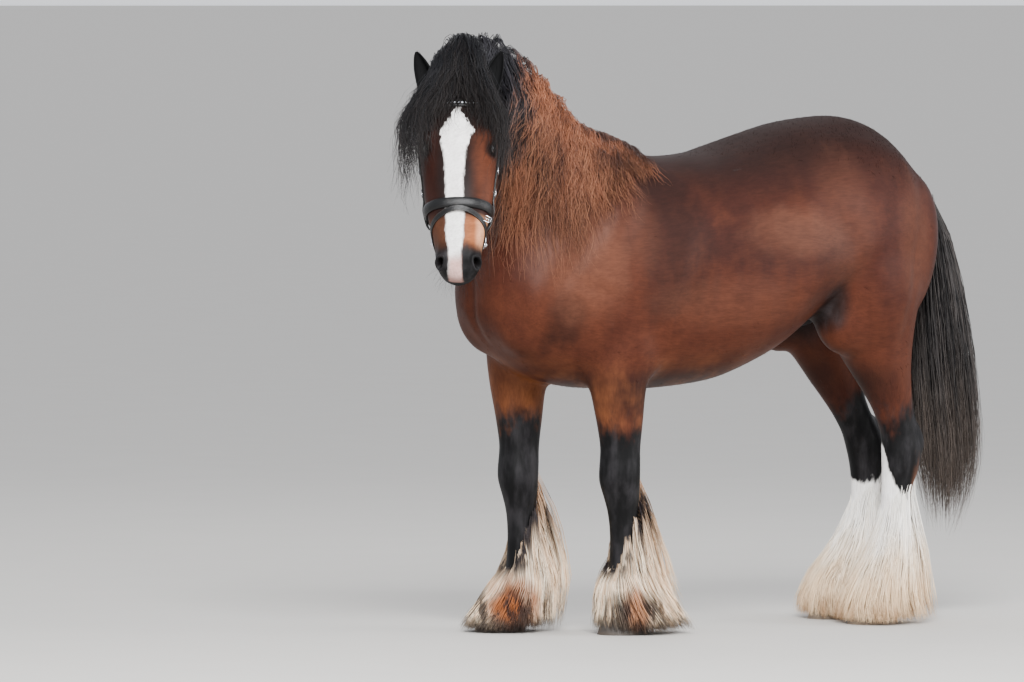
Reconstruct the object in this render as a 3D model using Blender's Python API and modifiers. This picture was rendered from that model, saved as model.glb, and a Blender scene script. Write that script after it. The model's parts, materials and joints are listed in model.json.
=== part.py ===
# A gypsy cob, bay with white feather, that stands and looks round to its left.
# Metres, +Z up. +X runs from the head to the tail, -Y is the horse's left, and the hooves stand on Z = 0.

import math
import random

import bmesh
import bpy
import numpy as np
from mathutils import Matrix, Vector
from mathutils.bvhtree import BVHTree

# Driving dimensions. GAP is the clearance between two nodes that meet, and CUT_GAP what a cut leaves,
# a little more because the cut faces are bent
GAP = 0.0003
CUT_GAP = GAP * 1.15
HEAD_LENGTH = 0.58
HEAD_TURN = math.radians(58)
HEAD_SLOPE = math.radians(20)
POLL = Vector((-0.985, -0.222, 1.590))
CORONET_HEIGHT = 0.068
CORONET_SLOPE = -0.26

# The eye: its place on the head, the ball, and the half length and half height of the opening of the lids
EYE_PLACE = (0.187, -0.001, 0.079)
EYE_RADIUS = 0.0215
EYE_OPENING = (0.0195, 0.0120)
LID_THICKNESS = 0.0052

# The bridle's leather: widths and thicknesses, and how high the straps rest on the short coat
STRAP_THICKNESS = 0.0045
STRAP_REST = 0.0016
CHEEKPIECE_WIDTH = 0.019
BROWBAND_WIDTH = 0.022
CROWNPIECE_WIDTH = 0.026
NOSEBAND_WIDTH = 0.029
NOSEBAND_THICKNESS = 0.0060
NOSEBAND_LEVEL = 0.372
FLASH_WIDTH = 0.015
FLASH_THICKNESS = 0.0035

# The bit: the corners of the mouth, the rings and the bar
MOUTH_CORNER = (0.450, -0.076)
BIT_RING_RADIUS = 0.032
BIT_RING_GIRTH = 0.0036
BIT_BAR_RADIUS = 0.0075

# Mesh densities
VOXEL = 0.008
SMOOTHING_ROUNDS = 60
BODY_TRIANGLES = 3700
HEAD_TRIANGLES = 1000
FEATHER_TRIANGLES = 410
MANE_TRIANGLES = 1000
TAIL_TRIANGLES = 700
FORELOCK_TRIANGLES = 420
RING_SIDES = 36

# The head's own directions: down the face, out of the face, and to the horse's left
FACING = Vector((-math.cos(HEAD_TURN), -math.sin(HEAD_TURN), 0))
HEAD_AXIS = FACING * math.sin(HEAD_SLOPE) + Vector((0, 0, -math.cos(HEAD_SLOPE)))
FACE_OUT = FACING * math.cos(HEAD_SLOPE) + Vector((0, 0, math.sin(HEAD_SLOPE)))
HEAD_LEFT = Vector((-FACING.y, FACING.x, 0))

UP = Vector((0, 0, 1))
FORWARD = Vector((-1, 0, 0))
SIDE = Vector((0, 1, 0))

# Torso sections: x, top, widest level, bottom, half width, roundness above, roundness below
TORSO_SECTIONS = [
    (-0.810, 1.050, 0.985, 0.930, 0.070, 2.0, 2.0),
    (-0.780, 1.130, 0.990, 0.875, 0.140, 2.1, 2.1),
    (-0.705, 1.240, 1.000, 0.800, 0.195, 2.1, 2.1),
    (-0.600, 1.330, 1.010, 0.740, 0.235, 2.0, 2.2),
    (-0.480, 1.410, 1.010, 0.712, 0.262, 1.8, 2.3),
    (-0.370, 1.446, 1.010, 0.706, 0.282, 1.6, 2.3),
    (-0.290, 1.416, 1.015, 0.703, 0.296, 1.7, 2.3),
    (-0.210, 1.388, 1.020, 0.703, 0.310, 1.9, 2.3),
    (-0.060, 1.396, 1.035, 0.718, 0.328, 2.1, 2.3),
    (0.020, 1.416, 1.045, 0.741, 0.332, 2.2, 2.3),
    (0.140, 1.451, 1.060, 0.796, 0.332, 2.2, 2.3),
    (0.250, 1.482, 1.090, 0.878, 0.325, 2.2, 2.3),
    (0.350, 1.497, 1.120, 0.930, 0.314, 2.1, 2.2),
    (0.450, 1.501, 1.140, 0.945, 0.298, 2.1, 2.1),
    (0.550, 1.470, 1.145, 0.950, 0.272, 2.1, 2.0),
    (0.640, 1.400, 1.150, 0.975, 0.230, 2.0, 2.0),
    (0.710, 1.305, 1.150, 1.015, 0.165, 2.0, 2.0),
    (0.745, 1.215, 1.150, 1.080, 0.085, 2.0, 2.0),
]

# Neck sections: centre x y z, half width, up to the crest, down to the throat, roundness
NECK_SECTIONS = [
    (-0.380, 0.000, 1.120, 0.215, 0.300, 0.330, 2.0),
    (-0.545, 0.004, 1.195, 0.190, 0.292, 0.270, 2.0),
    (-0.690, -0.002, 1.305, 0.155, 0.244, 0.210, 2.0),
    (-0.800, -0.036, 1.410, 0.128, 0.214, 0.170, 2.0),
    (-0.884, -0.088, 1.487, 0.106, 0.166, 0.135, 2.1),
    (-0.942, -0.143, 1.530, 0.088, 0.110, 0.112, 2.1),
]

# Head sections: distance from the poll, face line, jaw line, half width, roundness of face and of jaw
HEAD_SECTIONS = [
    (-0.030, -0.020, -0.095, 0.050, 2.0, 2.0),
    (-0.012, 0.012, -0.140, 0.076, 2.2, 2.0),
    (0.030, 0.034, -0.180, 0.093, 2.3, 2.0),
    (0.080, 0.048, -0.212, 0.105, 2.5, 2.0),
    (0.140, 0.055, -0.238, 0.113, 2.6, 2.0),
    (0.195, 0.056, -0.244, 0.113, 2.6, 2.0),
    (0.250, 0.053, -0.224, 0.108, 2.5, 2.1),
    (0.310, 0.050, -0.184, 0.102, 2.4, 2.2),
    (0.370, 0.047, -0.146, 0.094, 2.4, 2.3),
    (0.425, 0.043, -0.120, 0.080, 2.3, 2.3),
    (0.480, 0.039, -0.108, 0.070, 2.2, 2.3),
    (0.525, 0.030, -0.101, 0.066, 2.2, 2.2),
    (0.560, 0.010, -0.086, 0.052, 2.0, 2.0),
    (HEAD_LENGTH, -0.022, -0.060, 0.026, 2.0, 2.0),
]

# Leg sections: height, centre x, half width, reach forward, reach back. The leg's own x and y are added
FORE_SECTIONS = [
    (1.020, 0.000, 0.070, 0.100, 0.120),
    (0.900, 0.000, 0.092, 0.112, 0.116),
    (0.810, 0.000, 0.090, 0.110, 0.098),
    (0.720, 0.000, 0.079, 0.100, 0.076),
    (0.620, 0.000, 0.063, 0.079, 0.067),
    (0.545, 0.000, 0.056, 0.066, 0.058),
    (0.490, 0.000, 0.059, 0.069, 0.056),
    (0.445, 0.000, 0.060, 0.070, 0.054),
    (0.395, 0.002, 0.050, 0.057, 0.052),
    (0.340, 0.003, 0.040, 0.045, 0.048),
    (0.260, 0.002, 0.036, 0.040, 0.045),
    (0.185, 0.000, 0.040, 0.043, 0.048),
    (0.145, -0.004, 0.045, 0.047, 0.049),
    (0.110, -0.011, 0.043, 0.043, 0.042),
    (0.075, -0.020, 0.054, 0.052, 0.050),
    (0.030, -0.028, 0.060, 0.060, 0.056),
]
HIND_SECTIONS = [
    (1.160, 0.000, 0.105, 0.180, 0.150),
    (1.020, -0.015, 0.118, 0.175, 0.175),
    (0.900, -0.025, 0.106, 0.140, 0.170),
    (0.800, 0.010, 0.088, 0.116, 0.124),
    (0.710, 0.055, 0.070, 0.096, 0.080),
    (0.630, 0.090, 0.056, 0.076, 0.058),
    (0.560, 0.112, 0.053, 0.068, 0.056),
    (0.510, 0.118, 0.056, 0.068, 0.060),
    (0.455, 0.112, 0.051, 0.060, 0.058),
    (0.395, 0.100, 0.042, 0.050, 0.048),
    (0.310, 0.086, 0.036, 0.041, 0.043),
    (0.220, 0.070, 0.038, 0.042, 0.045),
    (0.155, 0.056, 0.045, 0.047, 0.049),
    (0.115, 0.036, 0.043, 0.043, 0.042),
    (0.075, 0.018, 0.054, 0.052, 0.050),
    (0.030, 0.006, 0.060, 0.060, 0.056),
]

# Each leg: its sections, x and y of its line at the top and at the ground, and how far back
# its hock and its foot stand
LEGS = {
    "foreleg_left": (FORE_SECTIONS, (-0.400, -0.165), (-0.378, -0.142), 0.0, 0.075),
    "foreleg_right": (FORE_SECTIONS, (-0.530, 0.165), (-0.556, 0.142), 0.0, -0.045),
    "hindleg_left": (HIND_SECTIONS, (0.485, -0.165), (0.480, -0.135), 0.0, 0.020),
    "hindleg_right": (HIND_SECTIONS, (0.515, 0.165), (0.515, 0.135), 0.055, 0.030),
}
HOCK_LEVEL = 0.38
HOCK_SPAN = 0.33

# Muscles that swell the outline, once for each side: centre x y z, radii x y z, tilt in degrees about Y
MUSCLES = {
    "shoulder": ((-0.460, 0.145, 1.080), (0.130, 0.112, 0.270), 26),
    "point_of_shoulder": ((-0.640, 0.125, 0.985), (0.125, 0.100, 0.145), 0),
    "breast": ((-0.700, 0.085, 0.925), (0.090, 0.090, 0.125), -20),
    "triceps": ((-0.390, 0.180, 0.960), (0.140, 0.092, 0.180), 20),
    "elbow": ((-0.400, 0.185, 0.850), (0.105, 0.080, 0.130), 0),
    "croup": ((0.400, 0.115, 1.280), (0.260, 0.160, 0.180), 4),
    "buttock": ((0.600, 0.130, 1.100), (0.120, 0.108, 0.240), 10),
    "thigh": ((0.440, 0.180, 1.030), (0.180, 0.118, 0.250), -14),
    "stifle": ((0.375, 0.180, 0.920), (0.105, 0.088, 0.130), 0),
}

# Leg regions: centre x, half length and half width of the ellipse, top level and its slope
# along x and outward
LEG_REGIONS = {
    "foreleg_left": (-0.392, 0.150, 0.128, 0.775, 0.10, 0.55),
    "foreleg_right": (-0.535, 0.150, 0.128, 0.775, 0.10, 0.55),
    "hindleg_left": (0.500, 0.285, 0.163, 0.880, 0.42, 0.20),
    "hindleg_right": (0.515, 0.285, 0.163, 0.880, 0.42, 0.20),
}
LEG_REGION_Y = 0.166

# The parting of the head: before a line that slopes back from a point, in distances down and out of the face
HEAD_PLANE = (-0.03, -0.110)
HEAD_PLANE_SLOPE = -0.8
HEAD_PLANE_NORMAL = (0.625, 0.781)

# Hooves: height as a share of the coronet's, forward shift of the centre, half width,
# reach forward and reach back
HOOF_SECTIONS = [
    (0.0, 0.036, 0.069, 0.079, 0.072),
    (0.9, 0.023, 0.060, 0.059, 0.056),
    (1.0, 0.021, 0.055, 0.052, 0.051),
]

# Ears: the foot and the tip on the head, then the share of the length, half width, depth and
# half angle of the wall round the back
EAR_FOOT = (0.034, -0.034, 0.078)
EAR_TIP = (-0.112, -0.012, 0.122)
EAR_WALL = 0.0045
EAR_SECTIONS = [
    (0.00, 0.020, 0.018, 175),
    (0.12, 0.025, 0.022, 150),
    (0.30, 0.029, 0.022, 125),
    (0.50, 0.028, 0.019, 115),
    (0.70, 0.021, 0.014, 112),
    (0.88, 0.011, 0.008, 112),
    (1.00, 0.003, 0.003, 112),
]

# Tail out to its tips: centre x, height, half width, half depth
TAIL_SECTIONS = [
    (0.735, 1.318, 0.034, 0.030),
    (0.785, 1.262, 0.046, 0.052),
    (0.800, 1.160, 0.064, 0.070),
    (0.812, 1.000, 0.080, 0.088),
    (0.832, 0.820, 0.092, 0.106),
    (0.848, 0.640, 0.096, 0.112),
    (0.860, 0.460, 0.090, 0.106),
    (0.862, 0.330, 0.070, 0.080),
    (0.850, 0.235, 0.020, 0.024),
]
TAIL_LOCKS = 12
TAIL_LOCK_THICKNESS = 0.024
TAIL_LOCK_WIDTHS = ((0.034, 0.066, 0.074, 0.070, 0.046), (0.040, 0.056, 0.062, 0.056, 0.040))
TAIL_CORE = ((1.318, 0.95), (1.262, 0.9), (1.16, 0.72), (1.0, 0.58), (0.86, 0.50), (0.78, 0.30))
TAIL_SEED = 5

# Mane: place along the neck from withers 0 to poll 1, hair's length, and how thick it lies
# on the crest and on the side
MANE_ROWS = [
    (0.00, 0.14, 0.010, 0.012),
    (0.16, 0.22, 0.018, 0.022),
    (0.30, 0.36, 0.032, 0.034),
    (0.40, 0.44, 0.056, 0.038),
    (0.50, 0.48, 0.096, 0.042),
    (0.66, 0.50, 0.126, 0.044),
    (0.84, 0.46, 0.136, 0.046),
    (1.00, 0.42, 0.124, 0.040),
]
MANE_LOCKS = 18
MANE_LOCK_THICKNESS = 0.014
MANE_LOCK_WIDTHS = (0.040, 0.070, 0.084, 0.086, 0.080, 0.056)
MANE_SHORT_LOCK_WIDTHS = (0.030, 0.048, 0.058, 0.044)
MANE_SEED = 4

# Forelock: the cap's sections down and out of the face, half width and half depth, then how far each lock
# reaches to the right and to the left
FORELOCK_CAP = [
    (-0.116, 0.000, 0.044, 0.056),
    (-0.062, 0.024, 0.074, 0.072),
    (0.000, 0.048, 0.080, 0.058),
    (0.048, 0.058, 0.052, 0.020),
]
FORELOCK_REACHES = ((-1, (0.08, 0.36, 0.64, 0.86, 1.06)), (1, (0.22, 0.52, 0.80, 1.06)))
FORELOCK_LOCK_THICKNESS = 0.014
FORELOCK_LOCK_WIDTHS = (0.036, 0.064, 0.064, 0.040)

# Feathers out to the tips: height, centre's shift back, half width, reach forward, reach back
FORE_FEATHER = [
    (0.490, 0.030, 0.020, 0.015, 0.040),
    (0.420, 0.020, 0.036, 0.020, 0.090),
    (0.340, 0.010, 0.050, 0.030, 0.132),
    (0.260, 0.000, 0.064, 0.040, 0.154),
    (0.185, 0.000, 0.082, 0.056, 0.168),
    (0.110, 0.000, 0.108, 0.098, 0.168),
    (0.050, 0.000, 0.126, 0.130, 0.170),
    (0.008, 0.000, 0.134, 0.140, 0.172),
]
HIND_FEATHER = [
    (0.450, 0.120, 0.020, 0.015, 0.050),
    (0.400, 0.104, 0.036, 0.028, 0.072),
    (0.340, 0.092, 0.052, 0.038, 0.104),
    (0.260, 0.078, 0.070, 0.048, 0.132),
    (0.185, 0.062, 0.092, 0.066, 0.160),
    (0.110, 0.030, 0.116, 0.084, 0.190),
    (0.050, 0.010, 0.134, 0.092, 0.208),
    (0.008, 0.008, 0.140, 0.096, 0.212),
]
FEATHER_LOCKS = 13
FEATHER_LOCK_THICKNESS = 0.016
FEATHER_LOCK_WIDTHS = (0.040, 0.076, 0.100, 0.090)
FEATHER_SHORT_LOCK_WIDTHS = (0.056, 0.106, 0.100)
FEATHER_SEEDS = {"left": 17, "right": 18}


def clear_scene():
    for obj in list(bpy.data.objects):
        bpy.data.objects.remove(obj)


def collection(name):
    made = bpy.data.collections.new(name)
    bpy.context.scene.collection.children.link(made)
    return made


def finish(name, colour, roughness, metallic=0.0):
    material = bpy.data.materials.new(name)
    material.use_nodes = True
    shader = material.node_tree.nodes["Principled BSDF"]
    shader.inputs["Base Color"].default_value = (*colour, 1)
    shader.inputs["Roughness"].default_value = roughness
    shader.inputs["Metallic"].default_value = metallic
    return material


def smooth_rows(rows, steps):
    """The rows with steps - 1 new ones between each two, on a smooth curve through them."""
    rows = np.array(rows, float)
    padded = np.vstack([2 * rows[0] - rows[1], rows, 2 * rows[-1] - rows[-2]])
    made = []
    for a, b, c, d in zip(padded, padded[1:], padded[2:], padded[3:]):
        for step in range(steps):
            t = step / steps
            bend = (2 * a - 5 * b + 4 * c - d) * t * t + (3 * b - a - 3 * c + d) * t**3
            made.append(0.5 * (2 * b + (c - a) * t + bend))
    return [*made, rows[-1]]


def section(centre, side, up, width, rise, drop, round_up, round_down, count=RING_SIDES):
    """A closed ring of points: width to each side, rise above the centre and drop below it."""
    ring = []
    for index in range(count):
        angle = 2 * math.pi * index / count
        across, height = math.cos(angle), math.sin(angle)
        power = 2 / (round_up if height > 0 else round_down)
        reach = rise if height > 0 else drop
        ring.append(
            centre
            + side * (width * math.copysign(abs(across) ** power, across))
            + up * (reach * math.copysign(abs(height) ** power, height))
        )
    return ring


def loft(name, rings, into):
    """A closed skin over rings of equal count."""
    mesh = bmesh.new()
    rows = [[mesh.verts.new(point) for point in ring] for ring in rings]
    count = len(rings[0])
    for row, following in zip(rows, rows[1:]):
        for i in range(count):
            j = (i + 1) % count
            mesh.faces.new((row[i], row[j], following[j], following[i]))
    mesh.faces.new(reversed(rows[0]))
    mesh.faces.new(rows[-1])
    bmesh.ops.recalc_face_normals(mesh, faces=mesh.faces)
    return object_of(name, mesh, into)


def object_of(name, mesh, into):
    data = bpy.data.meshes.new(name)
    mesh.to_mesh(data)
    mesh.free()
    obj = bpy.data.objects.new(name, data)
    into.objects.link(obj)
    return obj


def ball(name, centre, radii, turn, into, segments=24):
    """An ellipsoid with its radii along the columns of turn."""
    mesh = bmesh.new()
    bmesh.ops.create_uvsphere(mesh, u_segments=segments, v_segments=segments // 2, radius=1)
    stretch = turn.to_4x4() @ Matrix.Diagonal((*radii, 1))
    bmesh.ops.transform(mesh, matrix=Matrix.Translation(centre) @ stretch, verts=mesh.verts)
    return object_of(name, mesh, into)


def head_point(along, out, left):
    """A point by its distance from the poll down the face, out of the face and to the left."""
    return POLL + HEAD_AXIS * along + FACE_OUT * out + HEAD_LEFT * left


def head_matrix():
    return Matrix((HEAD_LEFT, FACE_OUT, HEAD_AXIS)).transposed()


def torso_form(into):
    rings = []
    for x, top, wide, bottom, width, above, below in smooth_rows(TORSO_SECTIONS, 3):
        centre = Vector((x, 0, wide))
        rings.append(section(centre, SIDE, UP, width, top - wide, wide - bottom, above, below))
    loft("torso_form", rings, into)


def neck_form(into):
    rows = smooth_rows(NECK_SECTIONS, 4)
    rings = []
    for index, row in enumerate(rows):
        before, after = rows[max(index - 1, 0)], rows[min(index + 1, len(rows) - 1)]
        along = Vector(after[:3] - before[:3]).normalized()
        side = along.cross(UP).normalized()
        up = side.cross(along).normalized()
        width, rise, drop, roundness = row[3:]
        rings.append(section(Vector(row[:3]), side, up, width, rise, drop, roundness, roundness))
    loft("neck_form", rings, into)


def head_form(into):
    rings = []
    for along, face, jaw, width, round_face, round_jaw in smooth_rows(HEAD_SECTIONS, 3):
        middle = face - 0.36 * (face - jaw)
        centre = head_point(along, middle, 0)
        rings.append(
            section(centre, HEAD_LEFT, FACE_OUT, width, face - middle, middle - jaw, round_face, round_jaw)
        )
    loft("head_form", rings, into)
    turn = head_matrix()
    for side in (-1, 1):
        ball("cheek", head_point(0.180, -0.120, 0.056 * side), (0.044, 0.100, 0.105), turn, into)
        ball("brow", head_point(0.158, 0.010, 0.078 * side), (0.032, 0.036, 0.042), turn, into)
        ball("orbit", head_point(0.190, -0.016, 0.080 * side), (0.031, 0.036, 0.038), turn, into)
        ball("face_crest", head_point(0.280, -0.028, 0.072 * side), (0.024, 0.026, 0.070), turn, into)
        ball("nostril_wing", head_point(0.522, 0.004, 0.044 * side), (0.026, 0.030, 0.036), turn, into)
    ball("upper_lip", head_point(0.553, -0.012, 0), (0.048, 0.036, 0.030), turn, into)
    ball("lower_lip", head_point(0.547, -0.068, 0), (0.037, 0.028, 0.030), turn, into)
    ball("chin", head_point(0.513, -0.092, 0), (0.035, 0.026, 0.032), turn, into)


def leg_line(name, height):
    """x and y of a leg's line at a height, from the ground to the top of its sections."""
    sections, top, ground, hock_back, foot_back = LEGS[name]
    share = min(max(height / sections[0][0], 0), 1)
    bow = max(1 - ((height - HOCK_LEVEL) / HOCK_SPAN) ** 2, 0) ** 2
    x = ground[0] + (top[0] - ground[0]) * share + hock_back * bow + foot_back * max(1 - height / 0.15, 0)
    return (x, ground[1] + (top[1] - ground[1]) * share)


def leg_form(name, into):
    rings = []
    for height, shift, width, front, back in smooth_rows(LEGS[name][0], 3):
        x, y = leg_line(name, height)
        rings.append(section(Vector((x + shift, y, height)), SIDE, FORWARD, width, front, back, 2.1, 2.1))
    loft(name + "_form", rings, into)
    if name.startswith("hind"):
        x, y = leg_line(name, 0.55)
        turn = Matrix.Rotation(math.radians(-20), 3, "Y")
        ball("hock_point", Vector((x + 0.162, y, 0.552)), (0.026, 0.030, 0.060), turn, into)
    x, y = leg_line(name, 0.14)
    shift = 0.030 if name.startswith("fore") else 0.090
    ball("ergot", Vector((x + shift, y, 0.145)), (0.028, 0.034, 0.034), Matrix.Identity(3), into)


def muscle_forms(into):
    """The right shoulder goes forward with its leg, and the left one back."""
    for name, (centre, radii, tilt) in MUSCLES.items():
        for side in (-1, 1):
            place = Vector((centre[0], centre[1] * side, centre[2]))
            if name in ("triceps", "elbow"):
                place.x += -0.060 if side > 0 else 0.030
            ball(name, place, radii, Matrix.Rotation(math.radians(tilt), 3, "Y"), into)


def joined(name, parts, into):
    """One object that holds the meshes of a collection, which it empties."""
    mesh = bmesh.new()
    for obj in list(parts.objects):
        mesh.from_mesh(obj.data)
        bpy.data.objects.remove(obj)
    return object_of(name, mesh, into)


def apply_modifiers(obj):
    graph = bpy.context.evaluated_depsgraph_get()
    obj.data = bpy.data.meshes.new_from_object(obj.evaluated_get(graph))
    obj.modifiers.clear()


def softness(point):
    """How much a point of the body is smoothed: the trunk most, the lower legs and the head least."""
    from_head = (point - head_point(0.3, -0.08, 0)).length
    on_head = min(max((0.42 - from_head) / 0.12, 0), 1)
    on_leg = min(max((0.70 - point.z) / 0.12, 0), 1)
    return 1 - 0.85 * max(on_head, on_leg)


def body_blank(into):
    """The whole horse as one smooth closed skin, before it is parted."""
    forms = collection("forms")
    torso_form(forms)
    neck_form(forms)
    head_form(forms)
    for name in LEGS:
        leg_form(name, forms)
    muscle_forms(forms)
    ball("sheath", Vector((0.335, 0, 0.925)), (0.080, 0.045, 0.055), Matrix.Identity(3), forms)
    blank = joined("blank", forms, into)
    remesh = blank.modifiers.new("remesh", "REMESH")
    remesh.mode = "VOXEL"
    remesh.voxel_size = VOXEL
    apply_modifiers(blank)
    group = blank.vertex_groups.new(name="soft")
    for vertex in blank.data.vertices:
        group.add([vertex.index], softness(vertex.co), "REPLACE")
    smooth = blank.modifiers.new("smooth", "SMOOTH")
    smooth.factor = 0.5
    smooth.iterations = SMOOTHING_ROUNDS
    smooth.vertex_group = "soft"
    apply_modifiers(blank)
    return blank


def thinned(obj, triangles):
    modifier = obj.modifiers.new("decimate", "DECIMATE")
    modifier.ratio = triangles / sum(len(face.vertices) - 2 for face in obj.data.polygons)
    apply_modifiers(obj)
    return obj


def copied(obj, name, into):
    made = bpy.data.objects.new(name, obj.data.copy())
    into.objects.link(made)
    return made


def grown(obj, distance, into):
    """A copy with each face moved outward by a distance."""
    mesh = bmesh.new()
    mesh.from_mesh(obj.data)
    mesh.normal_update()
    moves = [vert.normal * distance * min(vert.calc_shell_factor(), 2.0) for vert in mesh.verts]
    for vert, move in zip(mesh.verts, moves):
        vert.co += move
    return object_of(obj.name + "_grown", mesh, into)


def is_closed(mesh):
    """Whether each edge of a mesh has two faces."""
    counts = np.zeros(len(mesh.edges), int)
    edges = np.empty(len(mesh.loops), int)
    mesh.loops.foreach_get("edge_index", edges)
    np.add.at(counts, edges, 1)
    return len(counts) > 0 and bool((counts == 2).all())


def boolean(obj, other, operation, solvers=("EXACT", "MANIFOLD")):
    """Cut, keep or join against an object or a collection, removed after. MANIFOLD is for where EXACT fails."""
    before = obj.data
    for solver in solvers:
        modifier = obj.modifiers.new("boolean", "BOOLEAN")
        modifier.operation = operation
        modifier.solver = solver
        if isinstance(other, bpy.types.Collection):
            modifier.operand_type = "COLLECTION"
            modifier.collection = other
        else:
            modifier.object = other
        obj.data = before
        apply_modifiers(obj)
        if is_closed(obj.data):
            break
    for cutter in list(other.objects) if isinstance(other, bpy.types.Collection) else [other]:
        bpy.data.objects.remove(cutter)
    return obj


def in_triangles(data):
    """A mesh's faces as triangles, by the way that leaves each edge with two faces."""
    for merge in (0, 1e-6, 1e-5):
        for method in ("BEAUTY", "EAR_CLIP"):
            mesh = bmesh.new()
            mesh.from_mesh(data)
            if merge:
                bmesh.ops.remove_doubles(mesh, verts=mesh.verts, dist=merge)
            bmesh.ops.triangulate(mesh, faces=mesh.faces, quad_method="BEAUTY", ngon_method=method)
            if all(len(edge.link_faces) == 2 for edge in mesh.edges):
                return mesh
    return mesh


def keep_largest(obj):
    """Keep only the closed surface with the largest volume, as triangles."""
    mesh = in_triangles(obj.data)
    left = set(mesh.faces)
    best, best_volume = [], -1
    while left:
        group, queue = [], [left.pop()]
        while queue:
            face = queue.pop()
            group.append(face)
            for edge in face.edges:
                for other in edge.link_faces:
                    if other in left:
                        left.remove(other)
                        queue.append(other)
        volume = 0.0
        for face in group:
            a, b, c = [vert.co for vert in face.verts]
            volume += a.dot(b.cross(c)) / 6
        if volume > best_volume:
            best, best_volume = group, volume
    keep = set(best)
    bmesh.ops.delete(mesh, geom=[face for face in mesh.faces if face not in keep], context="FACES")
    mesh.to_mesh(obj.data)
    mesh.free()
    return obj


def prism(name, outline, reach, place, into):
    """A flat outline of two numbers a point, carried to both sides by place(a, b, side)."""
    rings = [[place(a, b, reach * side) for a, b in outline] for side in (-1, 1)]
    return loft(name, rings, into)


def head_region(grow, into):
    """The room the head has: before the plane that runs from behind the poll to behind the jaw."""
    start, back = HEAD_PLANE
    outline = [
        (-0.25, 0.30),
        (0.72, 0.30),
        (0.72, -0.30 - grow),
        (start + (-0.30 - back) / HEAD_PLANE_SLOPE, -0.30 - grow),
        (-0.25, back + (-0.25 - start) * HEAD_PLANE_SLOPE),
    ]
    normal = Vector(HEAD_PLANE_NORMAL)
    moved = [(a - normal.x * grow, b - normal.y * grow) for a, b in outline]
    return prism("head_region", moved, 0.21, head_point, into)


def neck_region(grow, into):
    """The room the neck has: before a plane from the withers to the breast."""
    withers, breast = Vector((-0.43 + grow, -grow)), Vector((-0.76 + grow, -grow))
    outline = [
        (withers.x + 0.33, 1.45 + 0.38 + withers.y),
        (withers.x - 2, 1.45 + 0.38 + withers.y),
        (breast.x - 2, 1.07 - 0.114 + breast.y),
        (breast.x - 0.099, 1.07 - 0.114 + breast.y),
    ]
    return prism("neck_region", outline, 1.0, lambda x, z, side: Vector((x, side, z)), into)


def leg_region(name, grow, into, floor=True):
    """The room a leg has: an upright ellipse with a sloping top that ends at the coronet."""
    centre_x, length, width, top, rise_x, rise_out = LEG_REGIONS[name]
    side = -1 if name.endswith("left") else 1
    count = 40
    rings = [[], []]
    for index in range(count):
        angle = 2 * math.pi * index / count
        x = centre_x + (length + grow) * math.cos(angle)
        out = (width + grow) * math.sin(angle)
        y = side * (LEG_REGION_Y + out)
        level = top + rise_x * (x - centre_x) + rise_out * out + grow * 1.2
        rings[0].append(Vector((x, y, coronet_level(name, x) if floor else -0.2)))
        rings[1].append(Vector((x, y, level)))
    return loft(name + "_region", rings, into)


def coronet_level(name, x):
    foot_x = leg_line(name, CORONET_HEIGHT)[0]
    return CORONET_HEIGHT + CORONET_SLOPE * (x - foot_x)


def hoof_node(name, into):
    """A hoof that stands on the floor under its leg's coronet, which it meets with the gap between."""
    x, y = leg_line(name.replace("hoof_fore", "foreleg").replace("hoof_hind", "hindleg"), CORONET_HEIGHT)
    rear = 0.050 if "hind" in name else 0.0
    rings = []
    for share, shift, width, front, back in HOOF_SECTIONS:
        ring = []
        for index in range(18):
            angle = 2 * math.pi * index / 18
            across, along = math.cos(angle), math.sin(angle)
            reach = front if along > 0 else back
            local = -shift - reach * along + rear
            level = (CORONET_HEIGHT + CORONET_SLOPE * local - GAP * 1.1) * share
            ring.append(Vector((x + local, y + width * across, level)))
        rings.append(ring)
    return loft(name, rings, into)


def ear_node(name, side, into):
    """A cupped ear, its hollow to the front, with its foot sunk in the poll."""
    foot = head_point(EAR_FOOT[0], EAR_FOOT[1], EAR_FOOT[2] * side)
    tip = head_point(EAR_TIP[0], EAR_TIP[1], EAR_TIP[2] * side)
    along = (tip - foot).normalized()
    front = (FACE_OUT + HEAD_LEFT * 0.35 * side).normalized()
    across = along.cross(front).normalized()
    front = across.cross(along).normalized()
    rings = []
    steps = 7
    for share, width, depth, turn in EAR_SECTIONS:
        centre = foot.lerp(tip, share) - front * 0.010 * math.sin(math.pi * share)
        wall = min(EAR_WALL, 0.5 * width)
        ring = []
        for scale_width, scale_depth, order in ((width, depth, 1), (width - wall, depth - wall, -1)):
            for step in range(steps):
                angle = math.radians(turn) * (2 * step / (steps - 1) - 1) * order
                around = across * scale_width * math.sin(angle) - front * scale_depth * math.cos(angle)
                ring.append(centre + around)
        rings.append(ring)
    return loft(name, rings, into)


def eye_place(side):
    """Centre of an eye, the way it looks, and its long and short directions."""
    along, out, left = EYE_PLACE
    centre = head_point(along, out, left * side)
    look = (HEAD_LEFT * 0.84 * side + FACE_OUT * 0.54).normalized()
    long = HEAD_AXIS - look * HEAD_AXIS.dot(look)
    long = (long.normalized() * 0.94 + look.cross(long.normalized()) * 0.34 * side).normalized()
    return centre, look, long, look.cross(long)


def eye_node(name, side, into):
    mesh = bmesh.new()
    bmesh.ops.create_uvsphere(mesh, u_segments=12, v_segments=8, radius=EYE_RADIUS)
    bmesh.ops.translate(mesh, vec=eye_place(side)[0], verts=mesh.verts)
    return object_of(name, mesh, into)


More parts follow.
